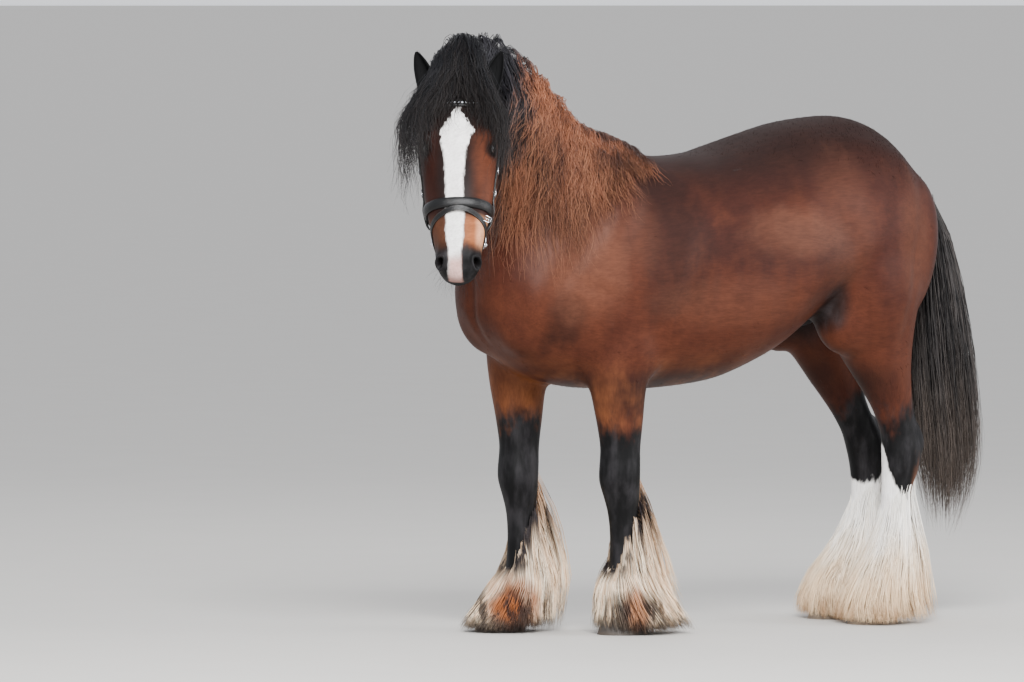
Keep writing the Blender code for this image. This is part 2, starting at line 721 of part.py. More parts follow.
def eye_opening(side, into):
    """The almond between the lids, as a plug that widens outward."""
    centre, look, long, short = eye_place(side)
    rings = []
    for out, size in ((0.002, 0.92), (0.018, 1.0), (0.045, 1.5)):
        ring = []
        for index in range(20):
            angle = 2 * math.pi * index / 20
            high = math.copysign(abs(math.sin(angle)) ** 1.25, math.sin(angle))
            around = long * EYE_OPENING[0] * math.cos(angle) + short * EYE_OPENING[1] * high
            ring.append(centre + look * out + around * size)
        rings.append(ring)
    return loft("eye_opening", rings, into)


def skin_of(obj):
    return BVHTree.FromObject(obj, bpy.context.evaluated_depsgraph_get())


def surface_hit(surface, start, target):
    """Where a ray from start to target meets the surface, and the surface's direction outward there."""
    place, normal, _, _ = surface.ray_cast(start, (target - start).normalized())
    if place is None:
        return target, (start - target).normalized()
    return place, normal


def resting(surface, place, normal):
    """The place on the skin under or over a place beside it."""
    near, _, _, distance = surface.ray_cast(place + normal * 0.03, -normal)
    return near if near is not None and abs(distance - 0.03) < 0.006 else place


def strap(name, surface, hits, width, into, lifts=None, closed=False, thickness=STRAP_THICKNESS):
    """A strap that rests on the short coat, along places and directions on the skin, raised by lifts."""
    places = [place for place, _ in hits]
    normals = [normal for _, normal in hits]
    count = len(hits)
    for _ in range(3):
        around = [(normals[i - 1], normals[i], normals[(i + 1) % count]) for i in range(count)]
        normals = [(a + b * 2 + c).normalized() if closed or 0 < i < count - 1 else b
                   for i, (a, b, c) in enumerate(around)]
    rings = []
    for index, (place, normal) in enumerate(zip(places, normals)):
        after = places[(index + 1) % count] if closed or index < count - 1 else place
        before = places[index - 1] if closed or index > 0 else place
        along = (after - before).normalized()
        side = along.cross(normal).normalized() * (width / 2)
        lift = lifts[index] if lifts else 0.0
        low = [resting(surface, place + side * way, normal) + normal * STRAP_REST for way in (-1, 1)]
        top = normal * (thickness + lift)
        rings.append([low[0], low[1], low[1] + top - side * 0.12, low[0] + top + side * 0.12])
    if closed:
        return ring_loft(name, rings, into)
    return loft(name, rings, into)


def ring_loft(name, rings, into):
    """A closed tube whose last ring joins the first."""
    mesh = bmesh.new()
    rows = [[mesh.verts.new(point) for point in ring] for ring in rings]
    count = len(rings[0])
    for row, following in zip(rows, rows[1:] + rows[:1]):
        for i in range(count):
            j = (i + 1) % count
            mesh.faces.new((row[i], row[j], following[j], following[i]))
    bmesh.ops.recalc_face_normals(mesh, faces=mesh.faces)
    return object_of(name, mesh, into)


def mouth_groove(surface, into):
    """A wedge that draws the line between the lips, round the muzzle from corner to corner."""
    heart = head_point(0.49, -0.056, 0)
    rings = []
    steps = 18
    for step in range(steps + 1):
        angle = math.radians(-88 + 176 * step / steps)
        far = heart + (HEAD_LEFT * math.sin(angle) + HEAD_AXIS * math.cos(angle)) * 0.25
        far -= FACE_OUT * 0.035 * math.sin(angle) ** 2
        place, normal = surface_hit(surface, far, heart)
        up = (FACE_OUT - normal * FACE_OUT.dot(normal)).normalized()
        end = 0.25 + 0.75 * math.sin(math.pi * step / steps) ** 0.5
        mouth, deep = place + normal * 0.006, place - normal * 0.009 * end
        rings.append([mouth - up * 0.0028, deep - up * 0.0005, deep + up * 0.0005, mouth + up * 0.0028])
    return loft("mouth_groove", rings, into)


def nostril(surface, side, into):
    far, heart = head_point(0.560, 0.10, 0.16 * side), head_point(0.515, -0.01, 0.030 * side)
    place, _ = surface_hit(surface, far, heart)
    inward = (HEAD_LEFT * -0.62 * side - FACE_OUT * 0.60 - HEAD_AXIS * 0.5).normalized()
    long = (HEAD_AXIS * 0.8 + HEAD_LEFT * 0.45 * side - FACE_OUT * 0.5)
    long = (long - inward * long.dot(inward)).normalized()
    turn = Matrix((long, inward.cross(long), inward)).transposed()
    return ball("nostril", place + inward * 0.004, (0.0165, 0.0095, 0.026), turn, into, 16)


def around_head(surface, along, heart_out, angle):
    """A place on the head's skin by distance down the face and angle round it, 0 at the front, 90 left."""
    heart = head_point(along, heart_out, 0)
    turn = math.radians(angle)
    far = heart + (FACE_OUT * math.cos(turn) + HEAD_LEFT * math.sin(turn)) * 0.4
    return surface_hit(surface, far, heart)


def beside_head(surface, along, out, side):
    return surface_hit(surface, head_point(along, out, 0.3 * side), head_point(along, out, 0))


def bit_node(surface, into):
    """Two loose rings at the corners of the mouth and the bar that joins them through it."""
    parts = collection("bit_parts")
    ends = []
    for side in (-1, 1):
        corner, _ = beside_head(surface, *MOUTH_CORNER, side)
        ends.append(corner + HEAD_LEFT * 0.012 * side)
        outward = (HEAD_LEFT * side + FACE_OUT * 0.12).normalized()
        bpy.ops.mesh.primitive_torus_add(
            location=ends[-1] + FACE_OUT * 0.004 - HEAD_AXIS * 0.023,
            rotation=outward.to_track_quat("Z", "Y").to_euler(),
            major_segments=16, minor_segments=5, major_radius=BIT_RING_RADIUS, minor_radius=BIT_RING_GIRTH,
        )
        ring = bpy.context.object
        ring.users_collection[0].objects.unlink(ring)
        parts.objects.link(ring)
        ring.data.transform(ring.matrix_basis)
        ring.matrix_basis = Matrix.Identity(4)
    across = ends[1] - ends[0]
    mesh = bmesh.new()
    bmesh.ops.create_cone(
        mesh, cap_ends=True, segments=10, radius1=BIT_BAR_RADIUS, radius2=BIT_BAR_RADIUS, depth=across.length
    )
    turn = across.to_track_quat("Z", "Y").to_matrix().to_4x4()
    bmesh.ops.transform(mesh, matrix=Matrix.Translation((ends[0] + ends[1]) / 2) @ turn, verts=mesh.verts)
    object_of("bar", mesh, parts)
    return fused("bridle_bit", parts, into)


def fused(name, parts, into):
    """One closed body from the closed bodies of a collection, which is emptied."""
    first = parts.objects[0]
    made = copied(first, name, into)
    bpy.data.objects.remove(first)
    return keep_largest(boolean(made, parts, "UNION"))


def headpiece_node(surface, into):
    """Crownpiece behind the ears, cheekpieces down to the bit, and browband."""
    parts = collection("headpiece_parts")
    for side in (-1, 1):
        hits, lifts = [], []
        for step in range(9):
            along = 0.060 + 0.345 * step / 8
            hits.append(beside_head(surface, along, -0.052 - 0.012 * step / 8, side))
            near = max(1 - abs(along - NOSEBAND_LEVEL) / 0.045, 0)
            lifts.append(0.0058 * min(near * 2, 1))
        strap("cheekpiece", surface, hits, CHEEKPIECE_WIDTH, parts, lifts)
        hits = [around_head(surface, 0.064, -0.060, angle * side) for angle in (98, 74, 50, 25, -3)]
        strap("browband", surface, hits, BROWBAND_WIDTH, parts)
    hits = []
    heart = head_point(0.075, -0.080, 0)
    for step in range(9):
        angle = math.radians(-96 + 192 * step / 8)
        far = heart + (HEAD_LEFT * math.sin(angle) - HEAD_AXIS * math.cos(angle) * 1.4) * 0.4
        far += FACE_OUT * 0.03 * abs(math.sin(angle))
        hits.append(surface_hit(surface, far, heart + FACE_OUT * 0.028 * abs(math.sin(angle)) ** 3))
    strap("crownpiece", surface, hits, CROWNPIECE_WIDTH, parts)
    return fused("bridle_headpiece", parts, into)


def noseband_node(surface, into):
    hits = []
    for angle in range(0, 360, 20):
        level = NOSEBAND_LEVEL - 0.010 * math.cos(math.radians(angle))
        hits.append(around_head(surface, level, -0.050, angle))
    width, thickness = NOSEBAND_WIDTH, NOSEBAND_THICKNESS
    return strap("bridle_noseband", surface, hits, width, into, closed=True, thickness=thickness)


def flash_node(surface, into):
    """The thin strap from the noseband's front that passes below the bit and under the chin."""
    hits, lifts = [], []
    for angle in range(0, 360, 15):
        share = (1 - math.cos(math.radians(angle))) / 2
        hits.append(around_head(surface, 0.3785 + 0.146 * share**0.8, -0.052, angle))
        lifts.append(0.0068 * max(1 - share / 0.06, 0))
    width, thickness = FLASH_WIDTH, FLASH_THICKNESS
    return strap("bridle_flash", surface, hits, width, into, lifts, closed=True, thickness=thickness)


def neck_place(share):
    """Centre, level direction to the left and direction up to the crest, from the withers 0 to the poll 1."""
    rows = smooth_rows(NECK_SECTIONS, 4)
    at = min(max(share, 0), 1) * (len(rows) - 1)
    index = min(int(at), len(rows) - 2)
    row = rows[index] + (rows[index + 1] - rows[index]) * (at - index)
    along = Vector(rows[index + 1][:3] - rows[index][:3]).normalized()
    left = UP.cross(along).normalized()
    return Vector(row[:3]), left, along.cross(left).normalized()


def row_at(rows, share, column=0):
    """The values of a table at a place in one of its columns."""
    rows = np.array(sorted(rows, key=lambda row: row[column]))
    return [float(np.interp(share, rows[:, column], rows[:, i])) for i in range(rows.shape[1])]


def lock(path, ways, widths, thick, into):
    """A flat tapered lock along a path, flat to the ways, with a blunt root and a sharp tip."""
    mesh = bmesh.new()
    rows = []
    for index, (place, way, width) in enumerate(zip(path[:-1], ways, widths)):
        along = (path[index + 1] - path[max(index - 1, 0)]).normalized()
        side = along.cross(way).normalized()
        out = side.cross(along)
        high = thick / 2 * (1 - 0.4 * index / len(path))
        corners = (side * (width / 2), out * high, side * (-width / 2), out * -high)
        rows.append([mesh.verts.new(place + corner) for corner in corners])
    tip = mesh.verts.new(path[-1])
    mesh.faces.new(rows[0])
    for row, following in zip(rows, rows[1:]):
        for i, j in ((0, 1), (3, 0)):
            mesh.faces.new((row[i], row[j], following[j]))
            mesh.faces.new((row[i], following[j], following[i]))
        for i, j in ((1, 2), (2, 3)):
            mesh.faces.new((row[i], row[j], following[i]))
            mesh.faces.new((row[j], following[j], following[i]))
    for i in range(4):
        mesh.faces.new((rows[-1][i], rows[-1][(i + 1) % 4], tip))
    bmesh.ops.recalc_face_normals(mesh, faces=mesh.faces)
    return object_of("lock", mesh, into)


def beside_trunk(trunk, place):
    """The skin on the left at a place's level and its direction outward, or the place where there is none."""
    start = Vector((place.x, -0.7, place.z))
    near, normal, _, _ = trunk.ray_cast(start, SIDE)
    if near is None or near.y > place.y + 0.05:
        return place.copy(), -SIDE
    return near, normal


def mane_root(surface, share, angle):
    """A place on the crest of the neck: angle 0 at the top, positive to the left, and the way there."""
    centre, left, up = neck_place(share)
    turn = math.radians(angle)
    way = up * math.cos(turn) + left * math.sin(turn)
    place, normal = surface_hit(surface, centre + way * 0.7, centre)
    return place, (normal + way).normalized(), (left * math.cos(turn) - up * math.sin(turn)).normalized()


def mane_node(surface, trunk, into):
    """Long locks from the crest that fall to the left over a low core, in two layers."""
    parts = collection("mane_parts")
    columns = []
    for share in np.linspace(0.07, 0.97, 9):
        _, _, crest, side = row_at(MANE_ROWS, share)
        inner, outer = [], []
        for step in range(5):
            angle = -16 + 64 * step / 4
            place, way, _ = mane_root(surface, share, angle)
            thick = side * 0.45 + (crest * 0.82 - side * 0.45) * max(1 - abs(angle) / 46, 0)
            if step == 4:
                thick *= 0.5
            inner.append(place - way * 0.010)
            outer.append(place + way * thick)
        columns.append(inner + outer[::-1])
    loft("core", columns, parts)
    draw = random.Random(MANE_SEED)
    for index in range(MANE_LOCKS):
        layer = index % 2
        share = 0.05 + 0.92 * (index + 0.5) / MANE_LOCKS
        _, length, crest, side = row_at(MANE_ROWS, share)
        root, way, over = mane_root(surface, share, (0, 10)[layer])
        lift = crest * (0.86, 0.70)[layer]
        path, ways = [root + way * lift * 0.5 - over * 0.010, root + way * lift + over * 0.014], [way, way]
        steps = 5 if share > 0.3 else 3
        length *= draw.uniform(0.90, 1.08)
        drift = FORWARD * draw.uniform(-0.03, 0.03)
        place = root
        for step in range(1, steps + 1):
            along = step / steps
            level = root + drift * along - UP * (0.02 + length * along)
            place, way = beside_trunk(trunk, Vector((level.x, place.y, level.z)))
            on_crest = max(1 - along / 0.45, 0)
            lift = (side + (crest - side) * on_crest) * (0.92, 0.50)[layer]
            sway = 0.014 * math.sin(index * 0.8 + 8 * along)
            path.append(place + way * lift + FORWARD * sway)
            ways.append(way)
        widths = MANE_LOCK_WIDTHS if steps == 5 else MANE_SHORT_LOCK_WIDTHS
        lock(path, ways, widths, MANE_LOCK_THICKNESS, parts)
    return thinned(fused("mane", parts, into), MANE_TRIANGLES)


def forelock_node(into):
    """The forelock: locks from between the ears to both sides of the forehead over a small cap."""
    parts = collection("forelock_parts")
    rings = []
    for along, out, width, depth in FORELOCK_CAP:
        centre = head_point(along, out, 0)
        rings.append(section(centre, HEAD_LEFT, FACE_OUT, width, depth, depth, 2.2, 2.2, 10))
    loft("cap", rings, parts)
    for side, reaches in FORELOCK_REACHES:
        for index, reach in enumerate(reaches):
            length = 0.10 + (0.26 if side < 0 else 0.17) * reach**0.7
            far = 0.030 + (0.122 if side < 0 else 0.098) * reach
            steps = 4
            path, ways = [], []
            for step in range(steps + 1):
                share = step / steps
                spread = math.sin(math.pi / 2 * min(share * 1.7, 1))
                arch = 0.050 + 0.020 * (index % 2) + 0.062 * math.sin(math.pi * min(share * 1.3, 1))
                arch -= 0.072 * share * reach
                along = -0.090 + (length + 0.09) * share
                path.append(head_point(along, arch, side * (0.016 + (far - 0.016) * spread)))
                way = FACE_OUT + HEAD_LEFT * (side * reach * min(share * 2, 1) * 1.2) - HEAD_AXIS * 0.5
                ways.append(way.normalized())
            lock(path, ways, FORELOCK_LOCK_WIDTHS, FORELOCK_LOCK_THICKNESS, parts)
    return thinned(fused("forelock", parts, into), FORELOCK_TRIANGLES)


def tail_place(height, angle, depth):
    """A point in the tail by height and angle, 0 at the back, from the middle at depth 0 to the outside at 1."""
    x, _, width, thick = row_at(TAIL_SECTIONS, height, 1)
    turn = math.radians(angle)
    return Vector((x + thick * math.cos(turn) * depth, width * math.sin(turn) * depth, height))


def tail_node(into):
    """Long locks that hang from the dock over a core that ends half way down."""
    parts = collection("tail_parts")
    rings = []
    for height, depth in TAIL_CORE:
        rings.append([tail_place(height, 360 * i / 9, depth) for i in range(9)])
    loft("core", rings, parts)
    draw = random.Random(TAIL_SEED)
    for index in range(TAIL_LOCKS):
        layer = index % 2
        angle = 360 * index / TAIL_LOCKS
        top = (1.235, 1.05)[layer] + draw.uniform(-0.03, 0.03)
        low = draw.uniform(0.25, 0.42)
        steps = 5
        path, ways = [], []
        for step in range(steps + 1):
            share = step / steps
            height = top + (low - top) * share
            depth = 0.55 + 0.37 * min(share * 3, 1) if layer == 0 else 0.46 + 0.12 * share
            place = tail_place(height, angle + 10 * share, depth)
            path.append(place)
            ways.append((place - tail_place(height, 0, 0)).normalized())
        lock(path, ways, TAIL_LOCK_WIDTHS[layer], TAIL_LOCK_THICKNESS, parts)
    return thinned(fused("tail", parts, into), TAIL_TRIANGLES)


def feather_place(rows, leg, height, angle, depth):
    """A point in a feather by height and angle, 0 at the front, from the middle at depth 0 to the tips at 1."""
    _, shift, width, front, back = row_at(rows, height)
    x, y = leg_line(leg, height)
    turn = math.radians(angle)
    reach = front if math.cos(turn) > 0 else back
    return Vector((x + shift - reach * math.cos(turn) * depth, y + width * math.sin(turn) * depth, height))


def feather_node(name, leg, into):
    """Locks all round from the cannon and the pastern to the floor, in two layers over a core."""
    rows = FORE_FEATHER if leg.startswith("fore") else HIND_FEATHER
    parts = collection("feather_parts")
    top = rows[0][0]
    rings = []
    core = ((top - 0.01, 0.9), (top - 0.10, 0.72), (0.25, 0.56), (0.15, 0.60), (0.085, 0.66), (0.055, 0.62))
    for height, depth in core:
        rings.append([feather_place(rows, leg, height, 360 * i / 10, depth) for i in range(10)])
    loft("core", rings, parts)
    draw = random.Random(FEATHER_SEEDS[name.split("_")[-1]])
    for index in range(FEATHER_LOCKS):
        layer = index % 2
        around = 2 * (index + 0.5) / FEATHER_LOCKS - 1
        angle = 180 + 180 * math.copysign(abs(around) ** 1.2, around)
        behind = (1 - math.cos(math.radians(angle))) / 2
        root = 0.150 + (top - 0.19) * behind**3 * (1.0 if layer == 0 else 0.75)
        tip = 0.004 + draw.uniform(0, 0.005)
        steps = 4 if root > 0.2 else 3
        path, ways = [], []
        for step in range(steps + 1):
            share = step / steps
            height = root + (tip - root) * share
            depth = 0.56 + (0.42 if layer == 0 else 0.24) * min(share * 2.5, 1)
            place = feather_place(rows, leg, height, angle, depth)
            away = place - feather_place(rows, leg, height, angle, 0)
            path.append(place)
            ways.append((away.normalized() + UP * 0.25).normalized())
        widths = FEATHER_LOCK_WIDTHS if steps == 4 else FEATHER_SHORT_LOCK_WIDTHS
        lock(path, ways, widths, FEATHER_LOCK_THICKNESS, parts)
    return thinned(fused(name, parts, into), FEATHER_TRIANGLES)


def clear_of(node, neighbours, spare):
    """Cut a node back to the gap from each neighbour. EXACT loses whole nodes where skins lie this close."""
    # A bent face with four corners could be cut along one diagonal and drawn along the other
    keep_largest(node)
    for neighbour in neighbours:
        boolean(node, grown(neighbour, CUT_GAP, spare), "DIFFERENCE", ("MANIFOLD",))
    return keep_largest(node)


def build():
    nodes = collection("gypsy_cob")
    spare = collection("spare")
    blank = body_blank(spare)
    head = copied(blank, "head", nodes)
    boolean(head, head_region(0, spare), "INTERSECT")
    thinned(keep_largest(head), HEAD_TRIANGLES)
    boolean(head, head_region(0, spare), "INTERSECT")
    thinned(blank, BODY_TRIANGLES)
    surface = skin_of(blank)
    face = skin_of(head)

    bay = finish("bay_coat", (0.155, 0.045, 0.020), 0.55)
    black = finish("black_coat", (0.020, 0.014, 0.012), 0.55)
    pale = finish("cream_feather", (0.72, 0.58, 0.40), 0.75)
    mane_hair = finish("mane_hair", (0.060, 0.022, 0.012), 0.6)
    horn = finish("hoof_horn", (0.16, 0.13, 0.11), 0.5)
    eye_finish = finish("eye", (0.012, 0.006, 0.004), 0.1)
    leather = finish("black_leather", (0.012, 0.011, 0.011), 0.35)
    steel = finish("steel", (0.62, 0.62, 0.64), 0.25, 1.0)

    made = {"head": head}
    neck = copied(blank, "neck", nodes)
    boolean(neck, head_region(GAP, spare), "DIFFERENCE")
    boolean(neck, neck_region(0, spare), "INTERSECT")
    made["neck"] = keep_largest(neck)
    torso = copied(blank, "torso", nodes)
    boolean(torso, head_region(GAP, spare), "DIFFERENCE")
    boolean(torso, neck_region(GAP, spare), "DIFFERENCE")
    for name in LEGS:
        leg = copied(blank, name, nodes)
        boolean(leg, leg_region(name, 0, spare), "INTERSECT")
        made[name] = keep_largest(leg)
        boolean(torso, leg_region(name, GAP, spare, floor=False), "DIFFERENCE")
    made["torso"] = keep_largest(torso)
    boolean(blank, head_region(GAP, spare), "DIFFERENCE")
    trunk = skin_of(keep_largest(blank))
    bpy.data.objects.remove(blank)

    for side, word in ((1, "left"), (-1, "right")):
        made["eye_" + word] = eye_node("eye_" + word, side, nodes)
        radii = [EYE_RADIUS + LID_THICKNESS] * 3
        lids = ball("lids", eye_place(side)[0], radii, Matrix.Identity(3), spare, 20)
        boolean(head, lids, "UNION")
        boolean(head, eye_opening(side, spare), "DIFFERENCE")
        boolean(head, grown(made["eye_" + word], CUT_GAP, spare), "DIFFERENCE")
        boolean(head, nostril(face, side, spare), "DIFFERENCE")
    whole = copied(keep_largest(head), "whole_head", spare)
    boolean(head, mouth_groove(face, spare), "DIFFERENCE")
    made["bridle_bit"] = bit_node(face, nodes)
    boolean(head, grown(made["bridle_bit"], CUT_GAP, spare), "DIFFERENCE")
    keep_largest(head)

    for word, side in (("left", 1), ("right", -1)):
        made["ear_" + word] = clear_of(ear_node("ear_" + word, side, nodes), [head], spare)
    noseband = made["bridle_noseband"] = clear_of(noseband_node(face, nodes), [whole], spare)
    flash = flash_node(face, nodes)
    made["bridle_flash"] = clear_of(flash, [whole, noseband, made["bridle_bit"]], spare)
    headpiece = headpiece_node(face, nodes)
    ears = [made["ear_left"], made["ear_right"]]
    near = [whole, neck, noseband, made["bridle_bit"], made["bridle_flash"], *ears]
    made["bridle_headpiece"] = clear_of(headpiece, near, spare)
    bpy.data.objects.remove(whole)

    for end in ("fore", "hind"):
        for word in ("left", "right"):
            hoof = made[f"hoof_{end}_{word}"] = hoof_node(f"hoof_{end}_{word}", nodes)
            leg = made[f"{end}leg_{word}"]
            feather = feather_node(f"feather_{end}_{word}", f"{end}leg_{word}", nodes)
            made[f"feather_{end}_{word}"] = clear_of(feather, [leg, hoof], spare)
    tail = tail_node(nodes)
    made["tail"] = clear_of(tail, [torso, made["hindleg_left"], made["hindleg_right"]], spare)
    mane = mane_node(surface, trunk, nodes)
    head_nodes = [head, *ears, headpiece]
    made["mane"] = clear_of(mane, [neck, torso, *head_nodes], spare)
    forelock = forelock_node(nodes)
    near = [*head_nodes, neck, made["eye_left"], made["eye_right"], made["mane"]]
    made["forelock"] = clear_of(forelock, near, spare)

    for name, obj in made.items():
        if name.startswith("feather"):
            material = pale
        elif name.startswith("hoof"):
            material = horn
        elif name.startswith(("ear", "foreleg", "hindleg", "tail", "forelock")):
            material = black
        elif name == "mane":
            material = mane_hair
        elif name.startswith("eye"):
            material = eye_finish
        elif name == "bridle_bit":
            material = steel
        elif name.startswith("bridle"):
            material = leather
        else:
            material = bay
        obj.data.materials.clear()
        obj.data.materials.append(material)
    return made


clear_scene()
made = build()
low = [min(v.co[i] for obj in made.values() for v in obj.data.vertices) for i in range(3)]
high = [max(v.co[i] for obj in made.values() for v in obj.data.vertices) for i in range(3)]
shift = Vector((-(low[0] + high[0]) / 2, -(low[1] + high[1]) / 2, -low[2]))
for obj in made.values():
    obj.data.transform(Matrix.Translation(shift))
    obj.data.update()
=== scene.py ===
# A gypsy cob, bay with white feather, that stands and looks round to its left.
# Metres, +Z up. +X runs from the head to the tail, and -Y is the horse's left.
# Shapes are worked out in the horse's own frame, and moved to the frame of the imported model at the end.

import json
import math
import random
import time

import bmesh
import bpy
import numpy as np
from mathutils import Matrix, Vector
from mathutils.bvhtree import BVHTree

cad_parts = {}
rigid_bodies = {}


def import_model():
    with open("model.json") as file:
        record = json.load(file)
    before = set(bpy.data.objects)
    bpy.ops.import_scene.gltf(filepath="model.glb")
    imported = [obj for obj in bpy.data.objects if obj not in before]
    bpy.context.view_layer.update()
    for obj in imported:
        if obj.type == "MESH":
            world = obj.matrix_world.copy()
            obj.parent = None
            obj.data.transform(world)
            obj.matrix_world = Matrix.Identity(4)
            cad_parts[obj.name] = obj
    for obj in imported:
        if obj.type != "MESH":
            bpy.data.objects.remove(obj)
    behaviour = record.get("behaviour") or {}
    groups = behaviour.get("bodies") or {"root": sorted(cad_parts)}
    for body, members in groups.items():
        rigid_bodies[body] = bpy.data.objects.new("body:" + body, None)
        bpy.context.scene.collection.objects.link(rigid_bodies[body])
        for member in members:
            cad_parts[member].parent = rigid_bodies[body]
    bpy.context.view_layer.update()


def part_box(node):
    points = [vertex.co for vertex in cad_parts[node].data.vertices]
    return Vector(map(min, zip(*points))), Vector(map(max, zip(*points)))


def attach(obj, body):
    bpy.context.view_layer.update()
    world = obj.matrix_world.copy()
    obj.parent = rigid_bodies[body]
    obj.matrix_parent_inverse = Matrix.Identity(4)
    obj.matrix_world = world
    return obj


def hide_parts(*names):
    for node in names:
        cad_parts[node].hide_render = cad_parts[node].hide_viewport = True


for spare in list(bpy.data.objects):
    bpy.data.objects.remove(spare)
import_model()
started = time.time()


def say(words):
    print(f"{time.time() - started:6.1f} s  {words}")


# The head's place and its own directions: down the face, out of the face and to its left
headPlace = {"turn": 58, "slope": 20, "length": 0.58, "poll": (-0.985, -0.222, 1.59)}
turn, slope = math.radians(headPlace["turn"]), math.radians(headPlace["slope"])
poll = Vector(headPlace["poll"])
up, forward, side = Vector((0, 0, 1)), Vector((-1, 0, 0)), Vector((0, 1, 0))
facing = Vector((-math.cos(turn), -math.sin(turn), 0))
headAxis = facing * math.sin(slope) - up * math.cos(slope)
faceOut = facing * math.cos(slope) + up * math.sin(slope)
headLeft = Vector((-facing.y, facing.x, 0))
headFrame = Matrix((headLeft, faceOut, headAxis)).transposed()


def headPoint(along, out, left):
    return poll + headAxis * along + faceOut * out + headLeft * left


# The eye's place on the head, the ball, the skin round it and the opening between the lids
eye = {"place": (0.187, -0.001, 0.079), "radius": 0.0212, "bulge": 0.0012, "lids": 0.0262, "socket": 0.0219,
       "opening": (0.0195, 0.012)}
nostril = {"long": 0.0185, "wide": 0.0115}
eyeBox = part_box("eye_left")
shift = (eyeBox[0] + eyeBox[1]) / 2 - headPoint(*eye["place"])

# The directions of the photograph's width along x and along y
acrossX, acrossY = 0.848, 0.53


def evenly(index):
    # shares from 0 to 1 that stay evenly spread, whatever their count
    return (index * 0.618034) % 1.0


def roundAngles(count):
    return [2 * math.pi * index / count for index in range(count)]


